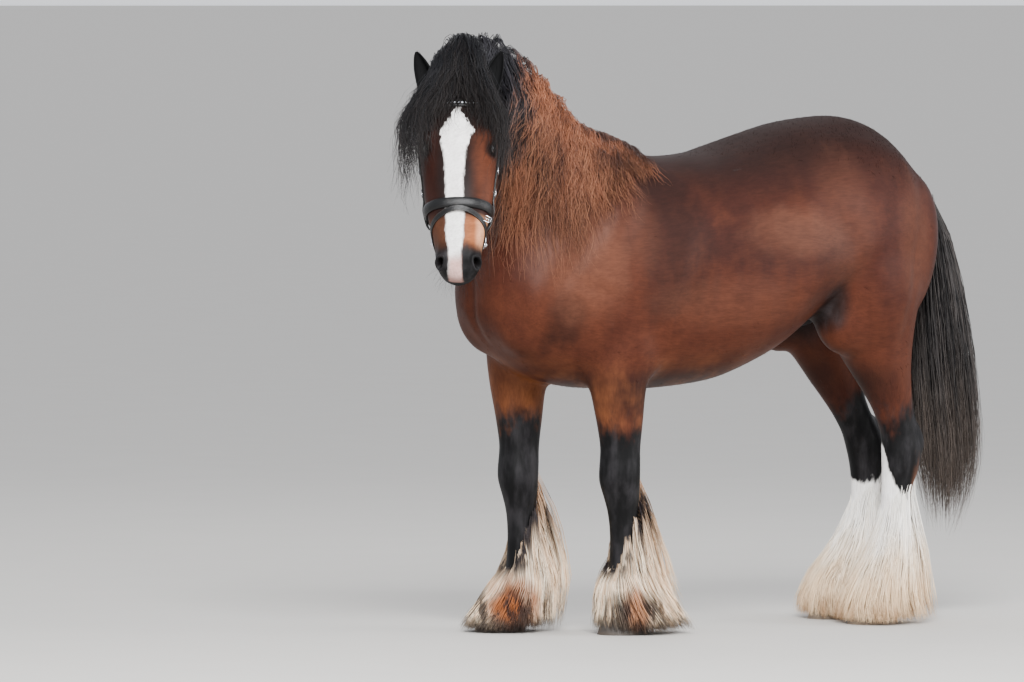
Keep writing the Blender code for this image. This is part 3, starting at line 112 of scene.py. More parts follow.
# Body tables: the same sizes as the solids have
body = {
    # x, top, widest level, bottom, half width, roundness above and below
    "torso": [
        (-0.81, 1.05, 0.985, 0.93, 0.07, 2.0, 2.0), (-0.78, 1.13, 0.99, 0.875, 0.14, 2.1, 2.1),
        (-0.705, 1.24, 1.0, 0.8, 0.195, 2.1, 2.1), (-0.6, 1.33, 1.01, 0.74, 0.235, 2.0, 2.2),
        (-0.48, 1.41, 1.01, 0.712, 0.262, 1.8, 2.3), (-0.37, 1.446, 1.01, 0.706, 0.282, 1.6, 2.3),
        (-0.29, 1.416, 1.015, 0.703, 0.296, 1.7, 2.3), (-0.21, 1.388, 1.02, 0.703, 0.31, 1.9, 2.3),
        (-0.06, 1.396, 1.035, 0.718, 0.328, 2.1, 2.3), (0.02, 1.416, 1.045, 0.741, 0.332, 2.2, 2.3),
        (0.14, 1.451, 1.06, 0.796, 0.332, 2.2, 2.3), (0.25, 1.482, 1.09, 0.878, 0.325, 2.2, 2.3),
        (0.35, 1.497, 1.12, 0.93, 0.314, 2.1, 2.2), (0.45, 1.501, 1.14, 0.945, 0.298, 2.1, 2.1),
        (0.55, 1.47, 1.145, 0.95, 0.272, 2.1, 2.0), (0.64, 1.4, 1.15, 0.975, 0.23, 2.0, 2.0),
        (0.71, 1.305, 1.15, 1.015, 0.165, 2.0, 2.0), (0.745, 1.215, 1.15, 1.08, 0.085, 2.0, 2.0),
    ],
    # centre x y z, half width, up to the crest, down to the throat, roundness
    "neck": [
        (-0.38, 0.0, 1.12, 0.215, 0.3, 0.33, 2.0), (-0.545, 0.004, 1.195, 0.19, 0.292, 0.27, 2.0),
        (-0.69, -0.002, 1.305, 0.155, 0.244, 0.21, 2.0), (-0.8, -0.036, 1.41, 0.128, 0.214, 0.17, 2.0),
        (-0.884, -0.088, 1.487, 0.106, 0.166, 0.135, 2.1), (-0.942, -0.143, 1.53, 0.088, 0.11, 0.112, 2.1),
    ],
    # distance from the poll, face line, jaw line, half width, roundness of face and of jaw
    "head": [
        (-0.03, -0.02, -0.095, 0.05, 2.0, 2.0), (-0.012, 0.012, -0.14, 0.076, 2.2, 2.0),
        (0.03, 0.034, -0.18, 0.093, 2.3, 2.0), (0.08, 0.048, -0.212, 0.105, 2.5, 2.0),
        (0.14, 0.055, -0.238, 0.113, 2.6, 2.0), (0.195, 0.056, -0.244, 0.113, 2.6, 2.0),
        (0.25, 0.053, -0.224, 0.108, 2.5, 2.1), (0.31, 0.05, -0.184, 0.102, 2.4, 2.2),
        (0.37, 0.047, -0.146, 0.094, 2.4, 2.3), (0.425, 0.043, -0.12, 0.08, 2.3, 2.3),
        (0.48, 0.039, -0.108, 0.07, 2.2, 2.3), (0.525, 0.03, -0.101, 0.066, 2.2, 2.2),
        (0.56, 0.01, -0.086, 0.052, 2.0, 2.0), (0.58, -0.022, -0.06, 0.026, 2.0, 2.0),
    ],
    # height, centre x, half width, reach forward, reach back
    "fore": [
        (1.02, 0.0, 0.07, 0.1, 0.12), (0.9, 0.0, 0.092, 0.112, 0.116), (0.81, 0.0, 0.09, 0.11, 0.098),
        (0.72, 0.0, 0.079, 0.1, 0.076), (0.62, 0.0, 0.063, 0.079, 0.067),
        (0.545, 0.0, 0.056, 0.066, 0.058), (0.49, 0.0, 0.059, 0.069, 0.056),
        (0.445, 0.0, 0.06, 0.07, 0.054), (0.395, 0.002, 0.05, 0.057, 0.052),
        (0.34, 0.003, 0.04, 0.045, 0.048), (0.26, 0.002, 0.036, 0.04, 0.045),
        (0.185, 0.0, 0.04, 0.043, 0.048), (0.145, -0.004, 0.045, 0.047, 0.049),
        (0.11, -0.011, 0.043, 0.043, 0.042), (0.075, -0.02, 0.054, 0.052, 0.05),
        (0.03, -0.028, 0.06, 0.06, 0.056),
    ],
    "hind": [
        (1.16, 0.0, 0.105, 0.18, 0.15), (1.02, -0.015, 0.118, 0.175, 0.175),
        (0.9, -0.025, 0.106, 0.14, 0.17), (0.8, 0.01, 0.088, 0.116, 0.124),
        (0.71, 0.055, 0.07, 0.096, 0.08), (0.63, 0.09, 0.056, 0.076, 0.058),
        (0.56, 0.112, 0.053, 0.068, 0.056), (0.51, 0.118, 0.056, 0.068, 0.06),
        (0.455, 0.112, 0.051, 0.06, 0.058), (0.395, 0.1, 0.042, 0.05, 0.048),
        (0.31, 0.086, 0.036, 0.041, 0.043), (0.22, 0.07, 0.038, 0.042, 0.045),
        (0.155, 0.056, 0.045, 0.047, 0.049), (0.115, 0.036, 0.043, 0.043, 0.042),
        (0.075, 0.018, 0.054, 0.052, 0.05), (0.03, 0.006, 0.06, 0.06, 0.056),
    ],
    # each leg: its table, x and y of its line at the top and at the ground, how far back hock and foot stand
    "legs": {
        "foreleg_left": ("fore", (-0.4, -0.165), (-0.378, -0.142), 0.0, 0.075),
        "foreleg_right": ("fore", (-0.53, 0.165), (-0.556, 0.142), 0.0, -0.045),
        "hindleg_left": ("hind", (0.485, -0.165), (0.48, -0.135), 0.0, 0.02),
        "hindleg_right": ("hind", (0.515, 0.165), (0.515, 0.135), 0.055, 0.03),
    },
    # centre x y z, radii x y z, tilt in degrees about Y, once for each side
    "muscles": [
        ("shoulder", (-0.46, 0.145, 1.08), (0.13, 0.112, 0.27), 26),
        ("pointOfShoulder", (-0.64, 0.125, 0.985), (0.125, 0.1, 0.145), 0),
        ("breast", (-0.7, 0.085, 0.925), (0.09, 0.09, 0.125), -20),
        ("triceps", (-0.39, 0.18, 0.96), (0.14, 0.092, 0.18), 20),
        ("elbow", (-0.4, 0.185, 0.85), (0.105, 0.08, 0.13), 0),
        ("croup", (0.4, 0.115, 1.28), (0.26, 0.16, 0.18), 4),
        ("buttock", (0.6, 0.13, 1.1), (0.12, 0.108, 0.24), 10),
        ("thigh", (0.44, 0.18, 1.03), (0.18, 0.118, 0.25), -14),
        ("stifle", (0.375, 0.18, 0.92), (0.105, 0.088, 0.13), 0),
    ],
    # hollows and ridges worked into the skin: centre, radii, tilt about Y, depth in metres, minus for a ridge
    "folds": [
        ((-0.275, 0.29, 1.05), (0.045, 0.12, 0.2), 24, 0.006),
        ((-0.33, 0.25, 0.85), (0.03, 0.1, 0.1), 10, 0.006),
        ((0.27, 0.33, 1.18), (0.06, 0.1, 0.15), -30, 0.01),
        ((0.275, 0.22, 0.93), (0.06, 0.1, 0.05), -38, 0.006),
        ((0.575, 0.24, 1.04), (0.022, 0.1, 0.23), 10, 0.006),
        ((0.51, 0.27, 1.3), (0.03, 0.1, 0.1), 20, 0.004),
        ((-0.56, 0.2, 1.13), (0.028, 0.1, 0.23), 34, 0.006),
        ((-0.52, 0.21, 1.0), (0.1, 0.1, 0.022), 24, 0.004),
        ((-0.78, 0.0, 0.98), (0.1, 0.018, 0.11), 0, 0.012),
        ((-0.47, 0.235, 0.905), (0.02, 0.09, 0.11), 0, 0.004),
    ],
    # the same on the head, by distance down the face, out of it and to each side
    "headFolds": [
        ((0.118, 0.03, 0.078), (0.026, 0.02, 0.02), 0.006),
        ((0.27, -0.075, 0.095), (0.03, 0.04, 0.06), 0.0035),
        ((0.335, 0.015, 0.075), (0.02, 0.016, 0.09), 0.003),
        ((0.215, 0.02, 0.085), (0.02, 0.014, 0.012), 0.0025),
        ((0.47, 0.0, 0.062), (0.016, 0.018, 0.03), 0.0035),
        ((0.535, 0.026, 0.0), (0.014, 0.016, 0.028), 0.003),
        ((0.545, -0.045, 0.0), (0.03, 0.008, 0.03), 0.0015),
        ((0.245, -0.165, 0.05), (0.06, 0.03, 0.03), -0.002),
    ],
    # rounded forms of the head, by distance down the face, out of it and to each side, and radii
    "faceForms": [
        ((0.18, -0.12, 0.056), (0.044, 0.1, 0.105)), ((0.158, 0.01, 0.078), (0.032, 0.036, 0.042)),
        ((0.19, -0.016, 0.08), (0.031, 0.036, 0.038)), ((0.28, -0.028, 0.072), (0.024, 0.026, 0.07)),
        ((0.522, 0.004, 0.044), (0.026, 0.03, 0.036)),
    ],
    # upper lip, lower lip and chin
    "lipForms": [
        ((0.553, -0.012, 0), (0.048, 0.036, 0.03)), ((0.547, -0.068, 0), (0.037, 0.028, 0.03)),
        ((0.513, -0.092, 0), (0.035, 0.026, 0.032)),
    ],
    "hockPoint": {"back": 0.162, "height": 0.552, "radii": (0.026, 0.03, 0.06), "tilt": -20},
    "fetlock": {"back": {"fore": 0.03, "hind": 0.09}, "height": 0.145, "radii": (0.028, 0.034, 0.034)},
}
skin = {"voxel": 0.008, "fineVoxel": 0.0046, "coatDepth": 0.002, "triangles": 182000}


def smoothRows(rows, steps):
    # new rows between each two, on a smooth curve through them
    rows = np.array(rows, float)
    padded = np.vstack([2 * rows[0] - rows[1], rows, 2 * rows[-1] - rows[-2]])
    made = []
    for a, b, c, d in zip(padded, padded[1:], padded[2:], padded[3:]):
        for step in range(steps):
            t = step / steps
            bend = (2 * a - 5 * b + 4 * c - d) * t * t + (3 * b - a - 3 * c + d) * t**3
            made.append(0.5 * (2 * b + (c - a) * t + bend))
    return [*made, rows[-1]]


def rowAt(rows, share, column=0):
    rows = np.array(sorted(rows, key=lambda row: row[column]))
    return [float(np.interp(share, rows[:, column], rows[:, i])) for i in range(rows.shape[1])]


def ring(centre, across, high, width, rise, drop, roundUp=2.0, roundDown=2.0, count=36):
    # a closed row of points round a centre, of its own roundness above and below
    made = []
    for angle in roundAngles(count):
        a, b = math.cos(angle), math.sin(angle)
        power = 2 / (roundUp if b > 0 else roundDown)
        made.append(centre + across * (width * math.copysign(abs(a) ** power, a))
                    + high * ((rise if b > 0 else drop) * math.copysign(abs(b) ** power, b)))
    return made


def meshObject(name, mesh):
    data = bpy.data.meshes.new(name)
    mesh.to_mesh(data)
    mesh.free()
    obj = bpy.data.objects.new(name, data)
    bpy.context.scene.collection.objects.link(obj)
    return obj


def addLoft(mesh, rings, closed=False):
    # a skin over rings of equal count, capped at both ends or joined end to end
    rows = [[mesh.verts.new(point) for point in points] for points in rings]
    count = len(rings[0])
    faces = []
    for row, following in zip(rows, rows[1:] + (rows[:1] if closed else [])):
        for i in range(count):
            j = (i + 1) % count
            faces.append(mesh.faces.new((row[i], row[j], following[j], following[i])))
    if not closed:
        faces.append(mesh.faces.new(reversed(rows[0])))
        faces.append(mesh.faces.new(rows[-1]))
    bmesh.ops.recalc_face_normals(mesh, faces=faces)
    return faces


def addBall(mesh, centre, radii, turned=None, segments=24):
    stretch = (turned or Matrix.Identity(3)).to_4x4() @ Matrix.Diagonal((*radii, 1))
    bmesh.ops.create_uvsphere(mesh, u_segments=segments, v_segments=segments // 2, radius=1,
                              matrix=Matrix.Translation(centre) @ stretch)


def tilted(degrees):
    return Matrix.Rotation(math.radians(degrees), 3, "Y")


def legLine(name, height):
    table, top, ground, hockBack, footBack = body["legs"][name]
    share = min(max(height / body[table][0][0], 0), 1)
    bow = max(1 - ((height - 0.38) / 0.33) ** 2, 0) ** 2
    x = ground[0] + (top[0] - ground[0]) * share + hockBack * bow + footBack * max(1 - height / 0.15, 0)
    return x, ground[1] + (top[1] - ground[1]) * share


def bodyForms(mesh):
    # torso, neck, head, legs and muscles as forms that reach into each other
    rings = []
    for x, top, wide, bottom, width, above, below in smoothRows(body["torso"], 3):
        rings.append(ring(Vector((x, 0, wide)), side, up, width, top - wide, wide - bottom, above, below))
    addLoft(mesh, rings)
    rings = []
    rows = smoothRows(body["neck"], 4)
    for index, row in enumerate(rows):
        before, after = rows[max(index - 1, 0)], rows[min(index + 1, len(rows) - 1)]
        along = Vector(after[:3] - before[:3]).normalized()
        across = along.cross(up).normalized()
        high = across.cross(along).normalized()
        rings.append(ring(Vector(row[:3]), across, high, *row[3:6], row[6], row[6]))
    addLoft(mesh, rings)
    rings = []
    for along, face, jaw, width, roundFace, roundJaw in smoothRows(body["head"], 3):
        middle = face - 0.36 * (face - jaw)
        reaches = width, face - middle, middle - jaw
        rings.append(ring(headPoint(along, middle, 0), headLeft, faceOut, *reaches, roundFace, roundJaw))
    addLoft(mesh, rings)
    for way in (-1, 1):
        for (along, out, left), radii in body["faceForms"]:
            addBall(mesh, headPoint(along, out, left * way), radii, headFrame)
    for place, radii in body["lipForms"]:
        addBall(mesh, headPoint(*place), radii, headFrame)
    hock, fetlock = body["hockPoint"], body["fetlock"]
    for name, (table, *_) in body["legs"].items():
        rings = []
        for height, back, width, front, rear in smoothRows(body[table], 3):
            x, y = legLine(name, height)
            rings.append(ring(Vector((x + back, y, height)), side, forward, width, front, rear, 2.1, 2.1))
        addLoft(mesh, rings)
        if table == "hind":
            x, y = legLine(name, 0.55)
            addBall(mesh, Vector((x + hock["back"], y, hock["height"])), hock["radii"], tilted(hock["tilt"]))
        x, y = legLine(name, 0.14)
        addBall(mesh, Vector((x + fetlock["back"][table], y, fetlock["height"])), fetlock["radii"])
    for name, place, radii, tilt in body["muscles"]:
        for way in (-1, 1):
            x = place[0] + ((-0.06 if way > 0 else 0.03) if name in ("triceps", "elbow") else 0)
            addBall(mesh, Vector((x, place[1] * way, place[2])), radii, tilted(tilt))
    addBall(mesh, Vector((0.335, 0, 0.925)), (0.08, 0.045, 0.055))


def applied(obj):
    graph = bpy.context.evaluated_depsgraph_get()
    obj.data = bpy.data.meshes.new_from_object(obj.evaluated_get(graph))
    obj.modifiers.clear()
    return obj


def remeshed(obj, voxel):
    remesh = obj.modifiers.new("remesh", "REMESH")
    remesh.mode = "VOXEL"
    remesh.voxel_size = voxel
    return applied(obj)


def fetched(items, name):
    values = np.empty(len(items) * 3, np.float32)
    items.foreach_get(name, values)
    return values.reshape(-1, 3).astype(float)


def vertexPlaces(obj):
    return fetched(obj.data.vertices, "co")


def vertexNormals(obj):
    return fetched(obj.data.vertex_normals, "vector")


def triangleCorners(obj):
    obj.data.calc_loop_triangles()
    corners = np.empty(len(obj.data.loop_triangles) * 3, int)
    obj.data.loop_triangles.foreach_get("vertices", corners)
    return corners.reshape(-1, 3)


def setPlaces(obj, places):
    obj.data.vertices.foreach_set("co", places.astype(np.float32).ravel())
    obj.data.update()


def inHead(places):
    # places by distance down the face, out of it and to its left
    return (places - np.array(poll)) @ np.array([headAxis, faceOut, headLeft]).T


def smoothed(obj, weights, times, factor=0.5):
    group = obj.vertex_groups.new(name="soft")
    for level in np.unique(np.round(weights, 1)):
        if level > 0:
            group.add(np.nonzero(np.round(weights, 1) == level)[0].tolist(), float(level), "REPLACE")
    smooth = obj.modifiers.new("smooth", "SMOOTH")
    smooth.factor = factor
    smooth.iterations = times
    smooth.vertex_group = "soft"
    applied(obj)
    obj.vertex_groups.clear()
    return obj


def softness(places):
    fromHead = np.linalg.norm(places - np.array(headPoint(0.3, -0.08, 0)), axis=1)
    onHead = np.clip((0.42 - fromHead) / 0.12, 0, 1)
    onLeg = np.clip((0.7 - places[:, 2]) / 0.12, 0, 1)
    return 1 - 0.85 * np.maximum(onHead, onLeg)


def bell(distance):
    return np.exp(-distance * distance)


def nostrilFrame(way):
    place = headPoint(0.532, 0.012, 0.049 * way)
    inward = (headLeft * -0.62 * way - faceOut * 0.6 - headAxis * 0.5).normalized()
    long = headAxis * 0.8 + headLeft * 0.45 * way - faceOut * 0.5
    long = (long - inward * long.dot(inward)).normalized()
    return place, inward, long, inward.cross(long)


def sculpt(obj):
    # muscle lines and folds of the body, nostrils and lips of the head
    places, normals = vertexPlaces(obj), vertexNormals(obj)
    moves = np.zeros(len(places))
    for centre, radii, tilt, depth in body["folds"]:
        for way in (-1, 1) if centre[1] else (1,):
            away = (places - np.array(centre) * (1, way, 1)) @ np.array(tilted(tilt)) / np.array(radii)
            moves -= depth * bell(np.linalg.norm(away, axis=1))
    local = inHead(places)
    onHead = (np.abs(local[:, 2]) < 0.2) & (local[:, 0] > -0.05) & (local[:, 0] < 0.7) & (local[:, 1] > -0.3)
    for (down, out, left), radii, depth in body["headFolds"]:
        for way in (-1, 1) if left else (1,):
            away = (local - np.array((down, out, left * way))) / np.array((radii[2], radii[1], radii[0]))
            moves[onHead] -= (depth * bell(np.linalg.norm(away, axis=1)))[onHead]
    # the line between the lips, with a low ridge on each side
    angle = np.arctan2(local[:, 2], local[:, 0] - 0.49)
    lipLine = -0.056 - 0.03 * np.sin(angle) ** 2
    ends = np.clip((math.radians(96) - np.abs(angle)) / 0.25, 0, 1) * (local[:, 0] > 0.44) * onHead
    near = local[:, 1] - lipLine
    lips = -0.006 * bell(near / 0.0032)
    for offset in (0.009, -0.009):
        lips = lips + 0.0016 * bell((near - offset) / 0.005)
    moves += ends * lips
    moved = places + normals * (moves - skin["coatDepth"])[:, None]
    for way in (-1, 1):
        place, inward, long, wide = nostrilFrame(way)
        away = places - np.array(place)
        a, b = away @ np.array(long) / nostril["long"], away @ np.array(wide) / nostril["wide"]
        deep = away @ np.array(inward)
        reach = np.sqrt(a * a + b * b)
        close = (np.abs(deep) < 0.035) & onHead
        sink = np.clip((1.15 - reach) / 0.65, 0, 1)
        sink = sink * sink * (3 - 2 * sink) * 0.024
        rim = 0.0034 * bell((reach - 1.28) / 0.24)
        moved[close] += (np.array(inward) * sink[:, None])[close] + (normals * rim[:, None])[close]
    setPlaces(obj, moved)


def refined(obj, wanted):
    # smaller faces where the head needs them
    mesh = bmesh.new()
    mesh.from_mesh(obj.data)
    centres = np.array([face.calc_center_median() for face in mesh.faces])
    local = inHead(centres)
    chosen = wanted(local)
    faces = [face for face, pick in zip(mesh.faces, chosen) if pick]
    edges = list({edge for face in faces for edge in face.edges})
    bmesh.ops.subdivide_edges(mesh, edges=edges, cuts=1, use_grid_fill=True, smooth=0)
    bmesh.ops.triangulate(mesh, faces=[face for face in mesh.faces if len(face.verts) > 4])
    mesh.to_mesh(obj.data)
    mesh.free()


def eyeFrame(way):
    along, out, left = eye["place"]
    centre = headPoint(along, out, left * way)
    look = (headLeft * 0.84 * way + faceOut * 0.54).normalized()
    long = headAxis - look * headAxis.dot(look)
    long = (long.normalized() * 0.94 + look.cross(long.normalized()) * 0.34 * way).normalized()
    return centre, look, long, look.cross(long)


def cut(obj, other, operation):
    modifier = obj.modifiers.new("cut", "BOOLEAN")
    modifier.operation = operation
    modifier.solver = "MANIFOLD"
    modifier.object = other
    applied(obj)
    bpy.data.objects.remove(other)


def eyeSockets(obj):
    for way in (-1, 1):
        centre, look, long, short = eyeFrame(way)
        mesh = bmesh.new()
        addBall(mesh, centre, [eye["lids"]] * 3, segments=48)
        cut(obj, meshObject("lids", mesh), "UNION")
        mesh = bmesh.new()
        rings = []
        for out, size in ((0.002, 0.92), (0.018, 1.0), (0.026, 1.06), (0.045, 1.5)):
            points = []
            for angle in roundAngles(44):
                wide, high = eye["opening"]
                rim = long * wide * math.cos(angle)
                rim = rim + short * high * math.copysign(abs(math.sin(angle)) ** 1.25, math.sin(angle))
                points.append(centre + look * out + rim * size)
            rings.append(points)
        addLoft(mesh, rings)
        cut(obj, meshObject("opening", mesh), "DIFFERENCE")
        mesh = bmesh.new()
        addBall(mesh, centre, [eye["socket"]] * 3, segments=48)
        cut(obj, meshObject("socket", mesh), "DIFFERENCE")


ears = {
    # share of the length, half width, depth, half angle of the wall round the back
    "rows": [
        (0.0, 0.02, 0.018, 175), (0.12, 0.025, 0.022, 150), (0.3, 0.029, 0.022, 125),
        (0.5, 0.028, 0.019, 115), (0.7, 0.0235, 0.016, 114), (0.86, 0.0155, 0.011, 114),
        (0.95, 0.009, 0.007, 112), (1.0, 0.003, 0.003, 112),
    ],
    "wall": 0.0036,
    "steps": 17,
}


def earEnds(way):
    return headPoint(0.034, -0.034, 0.078 * way), headPoint(-0.112, -0.012, 0.122 * way)


def addEar(mesh, way):
    # a cupped leaf: its outer wall and back along the inner one, from the foot to the tip
    foot, tip = earEnds(way)
    along = (tip - foot).normalized()
    front = (faceOut + headLeft * 0.35 * way).normalized()
    across = along.cross(front).normalized()
    front = across.cross(along).normalized()
    rings = []
    for share, width, depth, angle in smoothRows(ears["rows"], 4):
        centre = foot.lerp(tip, share) - front * 0.01 * math.sin(math.pi * share)
        wall = min(ears["wall"], 0.5 * width)
        points = []
        for wide, deep, order in ((width, depth, 1), (width - wall, depth - wall, -1)):
            for step in range(ears["steps"]):
                turned = math.radians(angle) * (2 * step / (ears["steps"] - 1) - 1) * order
                points.append(centre + across * wide * math.sin(turned) - front * deep * math.cos(turned))
        rings.append(points)
    return addLoft(mesh, rings)


def onMuzzle(local):
    return (local[:, 0] > 0.43) & (local[:, 0] < 0.7) & (np.abs(local[:, 2]) < 0.12) & (local[:, 1] > -0.2)


def makeSkin():
    # one closed skin: forms fused, smoothed and sculpted, with eye sockets and ears, then thinned off the head
    mesh = bmesh.new()
    bodyForms(mesh)
    obj = remeshed(meshObject("skin", mesh), skin["voxel"])
    smoothed(obj, softness(vertexPlaces(obj)), 60)
    remeshed(obj, skin["fineVoxel"])
    smoothed(obj, np.ones(len(obj.data.vertices)), 8)
    refined(obj, onMuzzle)
    smoothed(obj, (inHead(vertexPlaces(obj))[:, 0] > 0.4) * 1.0, 3)
    sculpt(obj)
    say(f"skin sculpted, {len(obj.data.polygons)} faces")
    eyeSockets(obj)
    for way in (-1, 1):
        mesh = bmesh.new()
        addEar(mesh, way)
        cut(obj, meshObject("ear", mesh), "UNION")
    places = vertexPlaces(obj)
    local = inHead(places)
    detail = (local[:, 0] > -0.2) & (local[:, 1] > -0.26) & (np.abs(local[:, 2]) < 0.16)
    group = obj.vertex_groups.new(name="plain")
    group.add(np.nonzero(~detail)[0].tolist(), 1.0, "REPLACE")
    triangles = sum(len(face.vertices) - 2 for face in obj.data.polygons)
    thin = obj.modifiers.new("thin", "DECIMATE")
    thin.ratio = min(skin["triangles"] / triangles, 1)
    thin.vertex_group = "plain"
    thin.vertex_group_factor = 10
    applied(obj)
    obj.vertex_groups.clear()
    obj.data.shade_smooth()
    say(f"skin done, {triangles} triangles thinned to {len(obj.data.polygons)}")
    return obj


horse = makeSkin()
skinTree = BVHTree.FromObject(horse, bpy.context.evaluated_depsgraph_get())


def treeOf(obj, keep):
    # the faces whose middles are wanted, for finding places on them
    places, corners = vertexPlaces(obj), triangleCorners(obj)
    corners = corners[keep(places[corners].mean(axis=1))]
    return BVHTree.FromPolygons(places.tolist(), corners.tolist())


def besidesHead(middles):
    # the trunk and the neck, behind the plane from behind the poll to behind the jaw
    local = inHead(middles)
    before = 0.625 * (local[:, 0] + 0.03) + 0.781 * (local[:, 1] + 0.11) > 0
    above = local[:, 1] + 0.3 - 0.25 * np.maximum(local[:, 0] - 0.2, 0) > 0
    return ~(before & above & (np.abs(local[:, 2]) < 0.21) & (local[:, 0] < 0.66)) & (middles[:, 2] > 0.7)


trunkTree = treeOf(horse, besidesHead)


def surfaceHit(surface, start, target):
    place, normal, _, _ = surface.ray_cast(start, (target - start).normalized())
    return (target, (start - target).normalized()) if place is None else (place, normal)


class Wire:
    # a socket of a node tree: sums on it add Math nodes, and add() makes any other node
    def __init__(self, tree, socket=None):
        self.tree, self.socket = tree, socket

    def add(self, kind, settings=None, inputs=None, output=0):
        node = self.tree.nodes.new(kind)
        for key, value in (settings or {}).items():
            if key == "stops":
                ramp = node.color_ramp.elements
                while len(ramp) < len(value):
                    ramp.new(0.5)
                for stop, (place, shade) in zip(ramp, value):
                    stop.position, stop.color = place, (*shade, 1)
            else:
                setattr(node, key, value)
        for key, value in (inputs or {}).items():
            if isinstance(value, Wire):
                self.tree.links.new(value.socket, node.inputs[key])
            else:
                node.inputs[key].default_value = value
        return Wire(self.tree, node.outputs[output])

    def maths(self, operation, first, second=0.0):
        return self.add("ShaderNodeMath", {"operation": operation}, {0: first, 1: second})

    def __add__(self, other):
        return self.maths("ADD", self, other)

    def __sub__(self, other):
        return self.maths("SUBTRACT", self, other)

    def __rsub__(self, other):
        return self.maths("SUBTRACT", other, self)

    def __mul__(self, other):
        return self.maths("MULTIPLY", self, other)

    def __truediv__(self, other):
        return self.maths("DIVIDE", self, other)

    __radd__, __rmul__ = __add__, __mul__

    def absolute(self):
        return self.maths("ABSOLUTE", self)

    def least(self, other):
        return self.maths("MINIMUM", self, other)

    def most(self, other):
        return self.maths("MAXIMUM", self, other)

    def rise(self, low, high):
        # 0 below low and 1 above high, with a soft change between
        ends = {0: self, 1: low, 2: high, 3: 0.0, 4: 1.0}
        return self.add("ShaderNodeMapRange", {"interpolation_type": "SMOOTHSTEP"}, ends)

    def mixed(self, first, second):
        # colours by this factor
        asked = {"data_type": "RGBA", "clamp_factor": True}
        first, second = (value if isinstance(value, Wire) else (*value, 1) for value in (first, second))
        return self.add("ShaderNodeMix", asked, {0: self, 6: first, 7: second}, 2)

    def vector(self, operation, other=(0, 0, 0), output=0):
        return self.add("ShaderNodeVectorMath", {"operation": operation}, {0: self, 1: other}, output)

    def dot(self, direction):
        return self.vector("DOT_PRODUCT", tuple(direction), 1)

    def distance(self, place):
        return self.vector("DISTANCE", tuple(place), 1)

    def noise(self, scale, detail=3.0, stretch=(1, 1, 1)):
        place = self.vector("MULTIPLY", tuple(stretch))
        look = {"Vector": place, "Scale": scale, "Detail": detail, "Roughness": 0.55}
        return place.add("ShaderNodeTexNoise", None, look)

    def attribute(self, name, output=2):
        # a float that the piece's points carry, or a vector with output 1
        return self.add("ShaderNodeAttribute", {"attribute_name": name}, None, output)

    def bump(self, strength, distance):
        # this height as relief, distance in metres
        return self.add("ShaderNodeBump", None, {"Strength": strength, "Distance": distance, "Height": self})


def linear(level):
    # from the 0 to 255 of a picture to the shader's own scale
    return level / 255 / 12.92 if level <= 10 else ((level / 255 + 0.055) / 1.055) ** 2.4


def colour(red, green, blue):
    return linear(red), linear(green), linear(blue)


def newMaterial(name):
    material = bpy.data.materials.new(name)
    material.use_nodes = True
    shader = material.node_tree.nodes["Principled BSDF"]
    return material, shader, Wire(material.node_tree)


def feed(wire, shader, **values):
    # a wire is linked, and a value that is the same all over is set on the socket
    for name, value in values.items():
        socket = shader.inputs[name.replace("_", " ")]
        if isinstance(value, Wire):
            wire.tree.links.new(value.socket, socket)
        else:
            socket.default_value = value


def horsePlace(wire):
    # a place in the horse's own frame, from Object coordinates
    return wire.add("ShaderNodeTexCoord", None, None, 3).vector("SUBTRACT", tuple(shift))


def parts(place):
    return place.dot((1, 0, 0)), place.dot((0, 1, 0)), place.dot((0, 0, 1))


coat = {
    "bay": colour(57, 26, 18), "bayDark": colour(25, 15, 13), "bayLight": colour(88, 47, 30),
    # sheen is the colour of the painted highlights
    "paintedSheen": colour(112, 71, 53), "black": colour(12, 12, 13), "grey": colour(66, 64, 67),
    "white": colour(250, 248, 245), "pink": colour(206, 160, 150), "wet": colour(14, 11, 12),
    "peach": colour(212, 152, 114), "tan": colour(124, 74, 44), "noseTan": colour(152, 90, 54),
    "noseShade": colour(84, 52, 36),
    # the blaze: place down the face and half its width
    "blaze": [
        (0.07, 0.0), (0.091, 0.012), (0.122, 0.03), (0.146, 0.047), (0.171, 0.04), (0.196, 0.033),
        (0.22, 0.0295), (0.282, 0.0255), (0.344, 0.0235), (0.418, 0.0255), (0.467, 0.0245), (0.498, 0.0185),
        (0.529, 0.0165), (0.56, 0.02),
    ],
    # the last place of the blaze's ramp, and how many times its widths are held in it
    "blazeReach": 0.6, "blazeScale": 10,
    # where the coat has a painted highlight in the sheen colour: x, height, reach along and up, strength
    "paintedShine": [
        (-0.56, 1.1, 0.15, 0.18, 0.42), (-0.42, 1.18, 0.1, 0.14, 0.2), (0.13, 1.17, 0.18, 0.08, 0.36),
        (0.58, 1.14, 0.08, 0.18, 0.26), (0.3, 1.2, 0.1, 0.2, 0.18), (-0.1, 0.96, 0.26, 0.08, 0.18),
    ],
    # where shade is painted darker, and the painted shadow of the fold before the thigh, in the same way
    "darker": [
        (-0.28, 1.12, 0.14, 0.22, 0.5), (0.0, 1.14, 0.2, 0.1, 0.3), (0.24, 1.02, 0.08, 0.2, 0.35),
        (-0.62, 0.92, 0.06, 0.1, 0.5),
    ],
    "flankFoldShadow": [(0.285, 0.935, 0.052, 0.075, 0.85)],
    # the black of the legs ends between these heights, and the white of the hind ones at these
    "blackFrom": 0.66, "blackFull": 0.55, "sockPoint": 0.548, "sockLeft": 0.345, "sockRight": 0.42,
}


